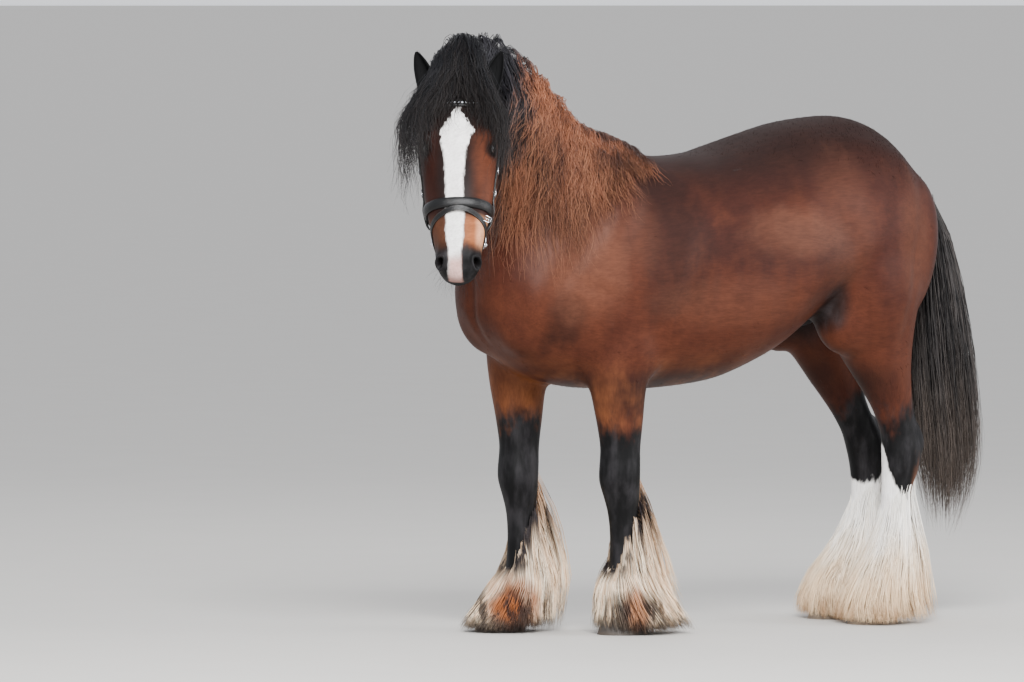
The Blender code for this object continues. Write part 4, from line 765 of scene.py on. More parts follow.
def headMask(place):
    local = place.vector("SUBTRACT", tuple(poll))
    along, out, left = local.dot(headAxis), local.dot(faceOut), local.dot(headLeft)
    inside = (along * 0.625 + out * 0.781 + 0.105).rise(-0.02, 0.03) * left.absolute().rise(0.24, 0.2)
    above = (out + 0.3 - (along - 0.2).most(0.0) * 0.25).rise(-0.01, 0.02)
    return inside * above * along.rise(-0.3, -0.26) * along.rise(0.68, 0.63), along, out, left


def legMarks(x, y, z, rough):
    # how black and how white the legs are, by height, for the fore and the hind ones
    starts, full = coat["blackFrom"], coat["blackFull"]
    hind = x.rise(0.1, 0.14)
    front = (x + 0.47).rise(0.1, -0.1)
    foreBlack = (z + rough * 0.16 - front * 0.03).rise(starts, full)
    hindBlack = (z + rough * 0.16 - (x - 0.55).most(0.0) * 1.4).rise(starts, full)
    black = foreBlack * (1 - hind) + hindBlack * hind
    # the left sock runs up to a point at the front of the hock
    left = y.rise(0.02, -0.02)
    beside = x * acrossX - y * acrossY - 0.521
    line = coat["sockPoint"] - beside.most(0.0) * 2.0 - beside.least(0.026).most(0.0) * 1.8
    line = line + beside.least(0.0) * 3.0
    point = line.most(coat["sockLeft"]) * left + coat["sockRight"] * (1 - left)
    white = (point - z + rough * 0.07).rise(-0.01, 0.01) * hind
    tan = (x.rise(0.6, 0.63) * z.rise(0.33, 0.37) * (z + rough * 0.1).rise(0.5, 0.4)) * hind * left
    return black, white, tan


def patches(x, z, listed, rough):
    # soft blots of colour, each an ellipse seen from the side, with an uneven edge: the feathers' own marks, and
    # patches of painted shade and painted highlight on the coat
    total = None
    for middleX, middleZ, wide, high, strength in listed:
        a, b = (x - middleX) / wide, (z - middleZ) / high
        blot = (a * a + b * b + rough * 1.6).rise(1.6, 0.0) * strength
        total = blot if total is None else total.most(blot)
    return total


def faceColour(wire, place, head, middle, fine, softBlack):
    # dark beside the blaze, a painted highlight on the left cheek, a lighter nose with painted shade on its
    # right side, black muzzle, crown and eyes, and the blaze over them
    along, out, left = head
    wide = left.absolute()
    face = (wide.rise(0.045, 0.095) * 0.6 + middle * 0.7).mixed(coat["bayDark"], coat["bay"])
    # painted highlight: the left cheek is lighter
    lit = left.rise(0.02, 0.07) * along.rise(0.12, 0.18) * along.rise(0.38, 0.33)
    face = (lit * (0.65 + middle * 1.5)).mixed(face, coat["bayLight"])
    lowNose = along.rise(0.385, 0.42) * along.rise(0.51, 0.46)
    leftNose = left.rise(0.042, 0.062).mixed(coat["noseTan"], coat["peach"])
    # the right side of the nose in a painted shade of its tan
    nose = left.rise(-0.01, 0.03).mixed(coat["noseShade"], leftNose)
    face = (lowNose * (0.8 + middle)).mixed(face, nose)
    muzzle = along - out * 0.25 + (middle + fine) * 0.04 - wide.rise(0.02, 0.05) * 0.015
    muzzle = muzzle.rise(0.462, 0.505)
    face = muzzle.mixed(face, softBlack)
    face = along.rise(0.085, 0.035).mixed(face, coat["black"])
    for way in (-1, 1):
        rim = (place.distance(eyeFrame(way)[0]) + middle * 0.012).rise(0.046, 0.028)
        face = (rim * 0.95).mixed(face, coat["black"])
    hairs = place.noise(120.0, 2.0, (1, 1, 0.22)) - 0.5
    reach, scale = coat["blazeReach"], coat["blazeScale"]
    stops = [(share / reach, [width * scale] * 3) for share, width in coat["blaze"]]
    widths = wire.add("ShaderNodeValToRGB", {"stops": stops}, {0: along / reach}) / scale
    half = widths + middle * 0.012 + hairs * (along.rise(0.24, 0.1) * 0.03 + 0.01)
    middleLine = left + 0.011 - along.rise(0.2, 0.14) * 0.007
    blaze = (half - middleLine.absolute()).rise(-0.005, 0.003) * out.rise(-0.02, 0.01) * along.rise(0.068, 0.09)
    blaze = blaze * (1 - along.rise(0.505, 0.545) * 0.7) * (along + middle * 0.06).rise(0.63, 0.6)
    face = blaze.mixed(face, coat["white"])
    snip = along.rise(0.5, 0.535) * along.rise(0.64, 0.6)
    snip = snip * ((left + 0.008).absolute() + middle * 0.03).rise(0.022, 0.012) * out.rise(-0.035, -0.02)
    return (snip * (0.75 + middle)).mixed(face, coat["pink"]), muzzle


def coatColour(wire, place):
    # the markings that skin and short hair share
    x, y, z = parts(place)
    broad = place.noise(2.6, 2.0) - 0.5
    middle = place.noise(9.0, 3.0) - 0.5
    streaky = place.noise(13.0, 3.0, (1.4, 1, 0.45)) - 0.5
    fine = place.noise(46.0, 3.0, (1, 1, 0.45)) - 0.5
    low = (z + broad * 0.22).rise(1.3, 0.8)
    bay = (low * 0.4 + middle * 0.8 + broad * 0.9 + streaky * 0.8).mixed(coat["bay"], coat["bayLight"])
    top = (z + broad * 0.1 + (x - 0.4).absolute().rise(0.0, 0.5) * 0.06).rise(1.22, 1.46)
    bay = (top * 0.85).mixed(bay, coat["bayDark"])
    # painted shade under the belly and between the legs
    bellyShade = z.rise(0.8, 0.715) * z.rise(0.6, 0.68) * x.absolute().rise(0.62, 0.4)
    bay = (bellyShade * 0.7).mixed(bay, coat["bayDark"])
    # painted shade: darker patches behind the shoulder, on the barrel, before the thigh and low on the chest
    bay = patches(x, z, coat["darker"], middle + streaky).mixed(bay, coat["bayDark"])
    # painted highlights: patches of the pale sheen colour on the shoulder, the barrel and the hindquarters
    bay = patches(x, z, coat["paintedShine"], middle + streaky).mixed(bay, coat["paintedSheen"])
    arm = z.rise(0.84, 0.72) * z.rise(0.52, 0.6) * x.rise(0.05, -0.05)
    bay = (arm * (0.14 + y.rise(-0.02, 0.02) * 0.4 + middle * 1.4 + streaky)).mixed(bay, coat["tan"])
    black, white, tan = legMarks(x, y, z, middle + fine * 0.9)
    onHead, *head = headMask(place)
    offHead = 1 - onHead
    softBlack = (place.noise(26.0, 4.0, (1, 1, 0.4)).rise(0.38, 0.74) * 0.36).mixed(coat["black"], coat["grey"])
    result = (black * offHead).mixed(bay, softBlack)
    result = (tan * 0.9).mixed(result, coat["tan"])
    # the black skin of the sheath with painted shadow round it in the groin, and painted shadow in the fold
    # before each thigh
    sheathAndFoldShadow = place.distance((0.335, 0.0, 0.885)).rise(0.17, 0.09)
    sheathAndFoldShadow = sheathAndFoldShadow.most(patches(x, z, coat["flankFoldShadow"], middle * 0.5) * y.absolute().rise(0.06, 0.1))
    result = sheathAndFoldShadow.mixed(result, softBlack)
    crest = ((x + 0.92).absolute().rise(0.2, 0.1) * z.rise(1.52, 1.58)) * offHead
    result = crest.mixed(result, coat["black"])
    face, muzzle = faceColour(wire, place, head, middle, fine, softBlack)
    result = onHead.mixed(result, face)
    return (white * offHead).mixed(result, coat["white"]), onHead, muzzle


def coatMaterial():
    material, shader, wire = newMaterial("bay_coat_and_markings")
    place = horsePlace(wire)
    tone, onHead, muzzle = coatColour(wire, place)
    z = place.dot((0, 0, 1))
    onLeg = z.rise(0.8, 0.7)

    def lie(scale, detail, onBody, down):
        # streaks that lie along the body, and down the legs
        return place.noise(scale, detail, onBody) * (1 - onLeg) + place.noise(scale, detail, down) * onLeg

    lying = lie(260.0, 3.0, (0.12, 1, 0.8), (1, 1, 0.12))
    coarse = lie(70.0, 2.0, (0.3, 1, 0.7), (1, 1, 0.25))
    depth = (lying * 0.55 + coarse * 0.45 - 0.25).rise(0.0, 0.5)
    tone = depth.mixed(tone.vector("MULTIPLY", (0.66, 0.64, 0.64)), tone)
    tone = wire.attribute("ear").mixed(tone, coat["black"])
    wet = wire.attribute("wet")
    # wet skin, glossier and painted near black: painted shade inside the nostrils and in the gap round the eyes
    tone = wet.mixed(tone, coat["wet"])
    rough = 0.42 + z.rise(1.25, 1.45) * 0.3 + place.noise(6.0, 2.0) * 0.16 + muzzle * onHead * 0.1
    bump = (lying * 0.6 + coarse * 0.9).bump(0.35, 0.0012)
    feed(wire, shader, Base_Color=tone, Roughness=rough - wet * 0.2, Normal=bump, Specular_IOR_Level=0.1)
    return material


def finished(obj, material, slotName, *nodes):
    # a piece in its place: moved to the model's frame, with its finish and the solids that it stands for
    obj.data.transform(Matrix.Translation(shift))
    obj.data.update()
    if material:
        obj.data.materials.clear()
        obj.data.materials.append(material)
    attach(obj, "root")
    if nodes:
        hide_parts(*nodes)
    return obj


def storeFloat(obj, name, values):
    attribute = obj.data.attributes.get(name) or obj.data.attributes.new(name, "FLOAT", "POINT")
    attribute.data.foreach_set("value", np.asarray(values, np.float32))


def markSkin():
    # where the skin is the ear's, and where it is wet and painted with shade: in the nostrils and round the eyes
    places = vertexPlaces(horse)
    ear, wet = np.zeros(len(places)), np.zeros(len(places))
    for way in (-1, 1):
        foot, tip = (np.array(end) for end in earEnds(way))
        share = np.clip((places - foot) @ (tip - foot) / ((tip - foot) @ (tip - foot)), 0, 1)
        away = np.linalg.norm(places - foot - share[:, None] * (tip - foot), axis=1)
        ear = np.maximum(ear, np.clip((share - 0.05) * 8, 0, 1) * (away < 0.045))
        place, inward, long, wide = nostrilFrame(way)
        offset = places - np.array(place)
        reach = np.hypot(offset @ np.array(long) / nostril["long"], offset @ np.array(wide) / nostril["wide"])
        deep = np.clip((0.95 - reach) / 0.3, 0, 1) * (np.abs(offset @ np.array(inward)) < 0.04)
        centre = eyeFrame(way)[0]
        rim = np.clip((0.0235 - np.linalg.norm(places - np.array(centre), axis=1)) / 0.002, 0, 1)
        wet = np.maximum(wet, np.maximum(deep, rim))
    storeFloat(horse, "ear", ear)
    storeFloat(horse, "wet", wet)


markSkin()
coatFinish = coatMaterial()


# Hair: many paths kept as the points and edges of one mesh, swept to flat tapered strands by Geometry Nodes
class Strands:
    def __init__(self, points):
        self.points, self.paths, self.ways = points, [], []
        self.girths, self.roots, self.tints = [], [], []

    def add(self, path, ways, girths, root, tint):
        self.paths.append(path)
        self.ways.append(ways)
        self.girths.append(girths)
        self.roots.append(root)
        self.tints.append(tint)


def nodeGroup(name, inputs):
    # a Geometry Nodes tree with named inputs, each with its kind and the value it starts from
    tree = bpy.data.node_groups.new(name, "GeometryNodeTree")
    for word, kind, value in inputs:
        socket = tree.interface.new_socket(word, in_out="INPUT", socket_type="NodeSocket" + kind)
        if value is not None:
            socket.default_value = value
    tree.interface.new_socket("Geometry", in_out="OUTPUT", socket_type="NodeSocketGeometry")
    given = tree.nodes.new("NodeGroupInput")
    return tree, Wire(tree), [Wire(tree, socket) for socket in list(given.outputs)[:len(inputs)]]


def closeGroup(tree, made, material):
    made = made.add("GeometryNodeRealizeInstances", None, {"Geometry": made})
    made = made.add("GeometryNodeSetMaterial", None, {"Geometry": made, "Material": material})
    tree.links.new(made.socket, tree.nodes.new("NodeGroupOutput").inputs[0])
    return tree


def strandTree():
    tree, wire, (source, girth, flat, patch, material) = nodeGroup("Strands", (
        ("Geometry", "Geometry", None), ("Girth", "Float", 1.0), ("Flatness", "Float", 0.4),
        ("Patch", "Float", 0.003), ("Material", "Material", None),
    ))

    def named(name, kind="FLOAT"):
        return wire.add("GeometryNodeInputNamedAttribute", {"data_type": kind}, {"Name": name})

    way = named("way", "FLOAT_VECTOR")
    curve = wire.add("GeometryNodeMeshToCurve", None, {"Mesh": source})
    curve = wire.add("GeometryNodeSetCurveNormal", {"mode": "FREE"}, {"Curve": curve, "Normal": way})
    curve = wire.add("GeometryNodeSetCurveRadius", None, {"Curve": curve, "Radius": named("girth") * girth})
    profile = wire.add("GeometryNodeCurvePrimitiveCircle", None, {"Resolution": 3, "Radius": 1.0})
    across = wire.add("GeometryNodeInputIndex") / 2.0
    profile = wire.add("GeometryNodeStoreNamedAttribute", {"data_type": "FLOAT", "domain": "POINT"},
                       {"Geometry": profile, "Name": "across", "Value": across})
    size = wire.add("ShaderNodeCombineXYZ", None, {0: flat, 1: 1.0, 2: 1.0})
    profile = wire.add("GeometryNodeTransform", None, {"Geometry": profile, "Scale": size})
    asked = {"Curve": curve, "Profile Curve": profile, "Scale": named("girth") * girth, "Fill Caps": True}
    swept = wire.add("GeometryNodeCurveToMesh", None, asked)
    # each strand has a small patch of the bake map, at the place of its root
    u = named("rootU") + named("across") * patch
    v = named("rootV") + named("along") * patch
    place = wire.add("ShaderNodeCombineXYZ", None, {0: u, 1: v})
    swept = wire.add("GeometryNodeStoreNamedAttribute", {"data_type": "FLOAT2", "domain": "CORNER"},
                     {"Geometry": swept, "Name": "OFBake", "Value": place})
    return closeGroup(tree, swept, material)


def setInputs(modifier, **values):
    for item in modifier.node_group.interface.items_tree:
        if item.item_type == "SOCKET" and item.in_out == "INPUT" and item.name in values:
            modifier[item.identifier] = values[item.name]


hairTree = strandTree()


def sweptStrands(name, strands, material, flatness=0.4):
    count, points = len(strands.paths), strands.points
    paths = np.array(strands.paths, float).reshape(-1, 3)
    data = bpy.data.meshes.new(name)
    data.vertices.add(len(paths))
    data.vertices.foreach_set("co", paths.astype(np.float32).ravel())
    starts = (np.arange(count)[:, None] * points + np.arange(points - 1)[None, :]).ravel()
    data.edges.add(len(starts))
    data.edges.foreach_set("vertices", np.stack([starts, starts + 1], axis=1).astype(np.int32).ravel())
    obj = bpy.data.objects.new(name, data)
    bpy.context.scene.collection.objects.link(obj)
    storeFloat(obj, "girth", np.array(strands.girths).ravel())
    storeFloat(obj, "along", np.tile(np.linspace(0, 1, points), count))
    roots = np.array(strands.roots, float)
    storeFloat(obj, "rootU", np.repeat(roots[:, 0], points))
    storeFloat(obj, "rootV", np.repeat(roots[:, 1], points))
    storeFloat(obj, "tint", np.repeat(np.array(strands.tints, float), points))
    ways = data.attributes.new("way", "FLOAT_VECTOR", "POINT")
    ways.data.foreach_set("vector", np.array(strands.ways, np.float32).ravel())
    data.update()
    modifier = obj.modifiers.new("sweep", "NODES")
    modifier.node_group = hairTree
    setInputs(modifier, Flatness=flatness, Material=material)
    applied(obj)
    for spare in ("way", "girth", "rootU", "rootV", "across"):
        if spare in obj.data.attributes:
            obj.data.attributes.remove(obj.data.attributes[spare])
    obj.data.shade_smooth()
    triangles = sum(len(face.vertices) - 2 for face in obj.data.polygons)
    say(f"{name}: {count} strands, {triangles} triangles")
    return obj


def resampled(path, count):
    # the same path with its points evenly apart
    path = np.array(path, float)
    lengths = np.concatenate([[0], np.cumsum(np.linalg.norm(np.diff(path, axis=0), axis=1))])
    even = np.linspace(0, lengths[-1], count)
    return np.stack([np.interp(even, lengths, path[:, i]) for i in range(3)], axis=1)


def curved(path, count):
    # a smooth path through a few points, resampled
    return resampled(np.array(smoothRows(path, 4)), count)


def unit(vectors):
    return vectors / np.maximum(np.linalg.norm(vectors, axis=-1, keepdims=True), 1e-9)


def tuftOf(strands, draw, path, ways, look):
    # the strands of one lock round its path: spread at the root, drawn together to the tip, with one wave
    count = strands.points
    share = np.linspace(0, 1, count)
    tangents = unit(np.gradient(path, axis=0))
    across = unit(np.cross(tangents, ways))
    length = np.linalg.norm(np.diff(path, axis=0), axis=1).sum()
    phase, turns = draw.uniform(0, 6.28), length / look["wave"] * draw.uniform(0.8, 1.2)
    lean = draw.uniform(-1, 1) * look["lean"] * share**2
    tone = draw.uniform(-1, 1)
    for _ in range(look["strands"]):
        a, b = draw.gauss(0, 0.5), draw.uniform(-0.3, 1)
        reach = draw.uniform(look["shortest"], 1.0)
        spread = (1 - look["clump"] * share) * look["width"] * (0.55 + 0.9 * share * (1 - share) * 2)
        own = draw.uniform(-0.5, 0.5)
        swing = 6.283 * turns * share * reach + phase + own
        ripple = look["curl"] * np.minimum(share * 3, 1)
        wave, lift = ripple * np.sin(swing), ripple * 0.5 * np.cos(swing)
        stray = draw.gauss(0, 1) * look["stray"] * share**2
        outward = draw.gauss(0.2, 1) * look["stray"] * share**2 * 0.6
        base = np.stack([np.interp(share * reach, share, path[:, i]) for i in range(3)], axis=1)
        rooted = np.minimum(share * look.get("rooted", 8), 1)
        moved = base + across * (a * spread + wave + stray + lean)[:, None]
        moved = moved + ways * ((b * look["depth"] * (1 - 0.6 * share) + lift) * rooted + outward)[:, None]
        swell = np.minimum(0.2 + share * 4, 1) * (1 - share**look["taper"])
        girths = look["girth"] * draw.uniform(0.7, 1.25) * np.clip(swell, 0.06, 1)
        yield moved, ways, girths, min(max(0.5 + 0.22 * tone + draw.gauss(0, 0.16), 0), 1)


def hairMaterial(name, dark, light, tip, sun=None, depth=0.35):
    # coarse hair: each strand has its own tone, and tips and sunlit places are lighter
    material, shader, wire = newMaterial(name)
    place = horsePlace(wire)
    tint, along = wire.attribute("tint"), wire.attribute("along")
    tone = (tint * 1.3 - 0.25 + (place.noise(14.0, 2.0) - 0.5) * 0.7).mixed(dark, light)
    tone = (along.rise(0.55, 1.0) * tint * 0.8).mixed(tone, tip)
    if sun:
        tone = sun(place, tint, along, tone)
    fine = place.noise(700.0, 2.0, (1, 1, 0.08))
    tone = (fine.rise(0.35, 0.65) * depth).mixed(tone, tone.vector("MULTIPLY", (0.55, 0.55, 0.55)))
    feed(wire, shader, Base_Color=tone, Roughness=0.42 + fine * 0.16, Normal=fine.bump(0.4, 0.0006),
         Specular_IOR_Level=0.18)
    return material


mane = {
    # place along the neck from withers 0 to poll 1, hair's length, how thick it lies on crest and side
    "rows": [
        (0.0, 0.08, 0.008, 0.008), (0.16, 0.13, 0.014, 0.014), (0.3, 0.24, 0.026, 0.024),
        (0.4, 0.36, 0.048, 0.03), (0.5, 0.46, 0.084, 0.034), (0.66, 0.52, 0.112, 0.036),
        (0.84, 0.5, 0.126, 0.038), (1.0, 0.44, 0.122, 0.036),
    ],
    "shortest": 0.55, "width": 0.024, "depth": 0.012, "clump": 0.5, "curl": 0.0095,
    "wave": 0.08, "stray": 0.018, "lean": 0.02, "girth": 0.0018, "taper": 2.2,
    # the fill beneath and the waves on top: locks, strands in each, points of each, least depth and its range
    "under": (330, 9, 10, 0.0, 0.85), "over": (190, 9, 20, 0.45, 0.55),
    # how long a lock is for its place, on the near side and on the far one
    "near": (0.82, 1.12), "far": (0.3, 0.55),
}
neckRows = smoothRows(body["neck"], 4)


def neckPlace(share):
    at = min(max(share, 0), 1) * (len(neckRows) - 1)
    index = min(int(at), len(neckRows) - 2)
    row = neckRows[index] + (neckRows[index + 1] - neckRows[index]) * (at - index)
    along = Vector(neckRows[index + 1][:3] - neckRows[index][:3]).normalized()
    left = up.cross(along).normalized()
    return Vector(row[:3]), left, along.cross(left).normalized()


def maneRoot(share, angle):
    centre, left, rise = neckPlace(share)
    turned = math.radians(angle)
    way = rise * math.cos(turned) + left * math.sin(turned)
    place, normal = surfaceHit(skinTree, centre + way * 0.7, centre)
    return place, (normal + way).normalized(), (left * math.cos(turned) - rise * math.sin(turned)).normalized()


def besideTrunk(place, flip=1):
    # the skin beside a place, from the left, or from the right where flip is -1
    near, normal, _, _ = trunkTree.ray_cast(Vector((place.x, -0.7 * flip, place.z)), side * flip)
    if near is None or (near.y - place.y) * flip > 0.05:
        return place.copy(), side * -flip
    return near, normal


def maneGuide(share, layer, flip, length, drift):
    # a lock's path: up from the crest, over it and down beside the neck
    _, reach, crest, beside = rowAt(mane["rows"], share)
    root, way, over = maneRoot(share, (-14 + 24 * layer) * flip)
    over *= flip
    lift = crest * (0.1 + 0.85 * layer)
    path = [root - way * 0.006, root + way * lift * 0.6 - over * 0.004, root + way * lift + over * 0.016]
    ways = [way, way, way]
    place = root
    reach *= length
    for step in range(1, 7):
        along = step / 6
        level = root + forward * drift * along - up * (0.02 + reach * along)
        place, way = besideTrunk(Vector((level.x, place.y, level.z)), flip)
        onCrest = max(1 - along / 0.45, 0)
        path.append(place + way * (beside + (crest - beside) * onCrest) * (0.3 + 0.62 * layer))
        ways.append(way)
    return path, ways


def makeMane(kind, seed):
    draw = random.Random(seed)
    locks, count, points, least, span = mane[kind]
    strands = Strands(points)
    calm = 1 if kind == "over" else 0.4
    for index in range(locks):
        share = 0.02 + 0.98 * evenly(index)
        if kind == "under" and index % 5 == 2:
            share = draw.uniform(0.9, 1.0)    # more at the poll
        layer = least + span * (index % 5) / 4
        flip = -1 if kind == "under" and index % 4 == 0 else 1    # a few fall to the far side
        length = draw.uniform(*(mane["near"] if flip > 0 else mane["far"]))
        path, ways = maneGuide(share, layer, flip, length, draw.uniform(-0.04, 0.04))
        path, ways = curved(path, points), unit(curved(ways, points))
        size = 0.55 + 0.45 * min(share / 0.4, 1)
        look = dict(mane, strands=count, width=mane["width"] * size, depth=mane["depth"] * size)
        look["curl"] = mane["curl"] * size * calm
        for moved, way, girths, tint in tuftOf(strands, draw, path, ways, look):
            strands.add(moved, way, girths, (share * 0.9, 0.1 + layer * 0.1 + draw.uniform(0, 0.02)), tint)
    return strands


def maneSun(place, tint, along, tone):
    # black at the poll, and red-brown and wavy from there to the withers
    x, y, z = parts(place)
    across = x * acrossX + (0.0 - y).most(0.05) * acrossY
    back = across - (z - 1.35) * 0.24 + 0.58 + (place.noise(6.0, 2.0) - 0.5) * 0.16 + (tint - 0.5) * 0.08
    clumps = place.noise(11.0, 3.0, (1, 1, 0.5))
    red = (tint * 0.7 + (clumps - 0.5) * 1.8 + 0.1).mixed(colour(44, 24, 19), colour(150, 93, 66))
    red = (along.rise(0.2, 1.0) * 0.7 * tint.rise(0.4, 0.9)).mixed(red, colour(160, 112, 84))
    withers = (across + 0.36).rise(0.0, 0.06) * z.rise(1.3, 1.4)
    red = (withers * (0.3 + clumps.rise(0.62, 0.4) * 0.6)).mixed(red, colour(44, 27, 23))
    return back.rise(-0.03, 0.05).mixed(tone, red)


maneFinish = hairMaterial("mane_hair", colour(10, 9, 11), colour(58, 57, 62), colour(98, 86, 80), maneSun)
maneHair = []
for kind, seed in (("under", 11), ("over", 16)):
    maneHair.append(sweptStrands("mane_hair_" + kind, makeMane(kind, seed), maneFinish))


tail = {
    # centre x, height, half width, half depth
    "rows": [
        (0.735, 1.318, 0.034, 0.03), (0.785, 1.262, 0.046, 0.052), (0.8, 1.16, 0.064, 0.07),
        (0.812, 1.0, 0.08, 0.088), (0.832, 0.82, 0.092, 0.106), (0.848, 0.64, 0.096, 0.112),
        (0.86, 0.46, 0.09, 0.106), (0.862, 0.33, 0.07, 0.08), (0.85, 0.235, 0.02, 0.024),
    ],
    "locks": 260, "strands": 12, "shortest": 0.82, "width": 0.026, "depth": 0.01, "clump": 0.35,
    "curl": 0.004, "wave": 0.14, "stray": 0.014, "lean": 0.014, "girth": 0.002, "taper": 2.6, "points": 11,
    "top": 1.31, "tips": (0.225, 0.36), "twist": 14,
}


def tailPlace(height, angle, depth):
    x, _, width, thick = rowAt(tail["rows"], height, 1)
    turned = math.radians(angle)
    return Vector((x + thick * math.cos(turned) * depth, width * math.sin(turned) * depth, height))


def makeTail():
    draw = random.Random(12)
    strands = Strands(tail["points"])
    for index in range(tail["locks"]):
        angle = 360 * evenly(index)
        layer = (index % 6) / 5
        top = tail["top"] - 0.26 * (1 - layer) * draw.uniform(0.3, 1.0)
        low = draw.uniform(*tail["tips"]) + 0.06 * (1 - layer)
        inside = 0.12 + 0.78 * layer
        path, ways = [], []
        for step in range(7):
            share = step / 6
            height = top + (low - top) * share
            depth = inside * (0.35 + 0.65 * min(share * 4, 1))
            place = tailPlace(height, angle + tail["twist"] * share, depth)
            path.append(place)
            if step:
                ways.append((place - tailPlace(height, 0, 0)).normalized())
            else:
                ways.append(Vector((math.cos(math.radians(angle)), math.sin(math.radians(angle)), 0.3)))
        path, ways = curved(path, tail["points"]), unit(curved(ways, tail["points"]))
        for moved, way, girths, tint in tuftOf(strands, draw, path, ways, tail):
            strands.add(moved, way, girths, (angle / 400, 0.2 + top * 0.3 + draw.uniform(0, 0.02)), tint)
    return strands


tailFinish = hairMaterial("tail_hair", colour(14, 13, 14), colour(76, 71, 69), colour(112, 98, 88))
tailHair = sweptStrands("tail_hair", makeTail(), tailFinish)


feather = {
    # height, centre's shift back, half width, reach forward, reach back
    "fore": [
        (0.49, 0.03, 0.02, 0.015, 0.04), (0.42, 0.02, 0.036, 0.02, 0.09), (0.34, 0.01, 0.05, 0.03, 0.132),
        (0.26, 0.0, 0.064, 0.04, 0.154), (0.185, 0.0, 0.082, 0.056, 0.168), (0.11, 0.0, 0.108, 0.098, 0.168),
        (0.05, 0.0, 0.126, 0.13, 0.17), (0.008, 0.0, 0.134, 0.14, 0.172),
    ],
    "hind": [
        (0.45, 0.12, 0.02, 0.015, 0.05), (0.4, 0.104, 0.036, 0.028, 0.072), (0.34, 0.092, 0.052, 0.038, 0.104),
        (0.26, 0.078, 0.07, 0.048, 0.132), (0.185, 0.062, 0.092, 0.066, 0.16),
        (0.11, 0.03, 0.116, 0.084, 0.19), (0.05, 0.01, 0.134, 0.092, 0.208), (0.008, 0.008, 0.14, 0.096, 0.212),
    ],
    "locks": 500, "strands": 7, "shortest": 0.93, "width": 0.015, "depth": 0.006, "clump": 0.4,
    "curl": 0.0024, "wave": 0.12, "stray": 0.009, "lean": 0.012, "girth": 0.0017, "taper": 5, "rooted": 3,
    "points": 8, "floor": 0.0025,
    # orange-brown hair: place across the view, height, reaches, strength
    "blots": [(-0.206, 0.065, 0.046, 0.08, 0.85), (-0.562, 0.075, 0.078, 0.09, 1.0)],
}


def featherPlace(rows, leg, height, angle, depth):
    _, back, width, front, rear = rowAt(rows, height)
    x, y = legLine(leg, height)
    turned = math.radians(angle)
    reach = front if math.cos(turned) > 0 else rear
    return Vector((x + back - reach * math.cos(turned) * depth, y + width * math.sin(turned) * depth, height))


def makeFeather(leg, seed):
    # hair rooted over the back and sides of the cannon, that leaves the leg as it falls and covers the hoof
    draw = random.Random(seed)
    rows = feather[leg[:4]]
    strands = Strands(feather["points"])
    fore = leg.startswith("fore")
    top = rows[0][0]
    for index in range(feather["locks"]):
        around = 2 * evenly(index) - 1
        fringe = index % 7 == 0    # short hair over the front of the hoof
        angle = 180 + 180 * math.copysign(1 - (1 - abs(around)) * 0.4 if fringe else abs(around), around)
        behind = (1 - math.cos(math.radians(angle))) / 2
        layer = (index % 5) / 4
        highest = 0.2 + (top - 0.2) * behind**1.1 if fore else 0.41 + (top - 0.41) * behind
        root = 0.088 + (highest - 0.088) * draw.random() ** (2.0 if fringe else 0.85)
        toFloor = root < 0.3 or draw.random() < 0.45
        tip = 0.003 + draw.uniform(0, 0.006) if toFloor else draw.uniform(0.03, 0.16)
        path, ways = [], []
        for step in range(7):
            share = step / 6
            height = root + (tip - root) * share
            heart = featherPlace(rows, leg, height, angle, 0)
            near = heart
            if height > 0.1:
                near, _ = surfaceHit(skinTree, featherPlace(rows, leg, height, angle, 2.0), heart)
                if (near - heart).length > 0.12:
                    near = heart
            outside = featherPlace(rows, leg, height, angle, 0.66 + 0.36 * layer)
            leave = 1 - math.exp(-(root - height) / (0.05 + 0.05 * behind))
            place = near.lerp(outside, leave)
            path.append(place if step else near + (heart - near).normalized() * 0.005)
            ways.append(((outside - heart).normalized() + up * 0.3).normalized())
        path, ways = curved(path, feather["points"]), unit(curved(ways, feather["points"]))
        for moved, way, girths, tint in tuftOf(strands, draw, path, ways, feather):
            moved[:, 2] = np.maximum(moved[:, 2], feather["floor"])
            strands.add(moved, way, girths, (angle / 400, 0.1 + root), tint)
    return strands


def hindFeatherSun(place, tint, along, tone):
    # white above, cream below and brown in the last tips
    z = place.dot((0, 0, 1))
    streaks = place.noise(24.0, 3.0, (1, 1, 0.14))
    tone = ((z + (streaks - 0.5) * 0.2).rise(0.34, 0.06) * 0.85).mixed(tone, colour(240, 206, 160))
    return (z.rise(0.1, 0.015) * streaks.rise(0.4, 0.6) * 0.7).mixed(tone, colour(160, 112, 72))


def foreFeatherSun(place, tint, along, tone):
    # cream with orange-brown blots, black streaks below and a black smoke at the roots
    x, y, z = parts(place)
    streaks = place.noise(24.0, 3.0, (1, 1, 0.14))
    patch = place.noise(9.0, 2.0)
    across = x * acrossX - y * acrossY
    blots = patches(across, z, feather["blots"], (patch - 0.5) + (streaks - 0.5) * 0.8)
    tone = (z.rise(0.2, 0.42) * 0.6).mixed(tone, colour(226, 166, 116))
    tone = blots.mixed(tone, colour(152, 88, 48))
    dark = streaks.rise(0.47, 0.55) * (z + 0.14 * (patch - 0.5)).rise(0.16, 0.07)
    tone = (dark * 0.9).mixed(tone, colour(40, 32, 32))
    tone = ((z + (streaks - 0.5) * 0.12).rise(0.05, 0.016) * 0.85).mixed(tone, colour(36, 29, 28))
    smoke = along.rise(0.66, 0.14) * (0.4 + streaks.rise(0.4, 0.56)).least(1.0) * z.rise(0.13, 0.19)
    smoke = smoke * (z + (streaks - 0.5) * 0.2).rise(0.46, 0.4)
    return smoke.mixed(tone, colour(44, 38, 39))


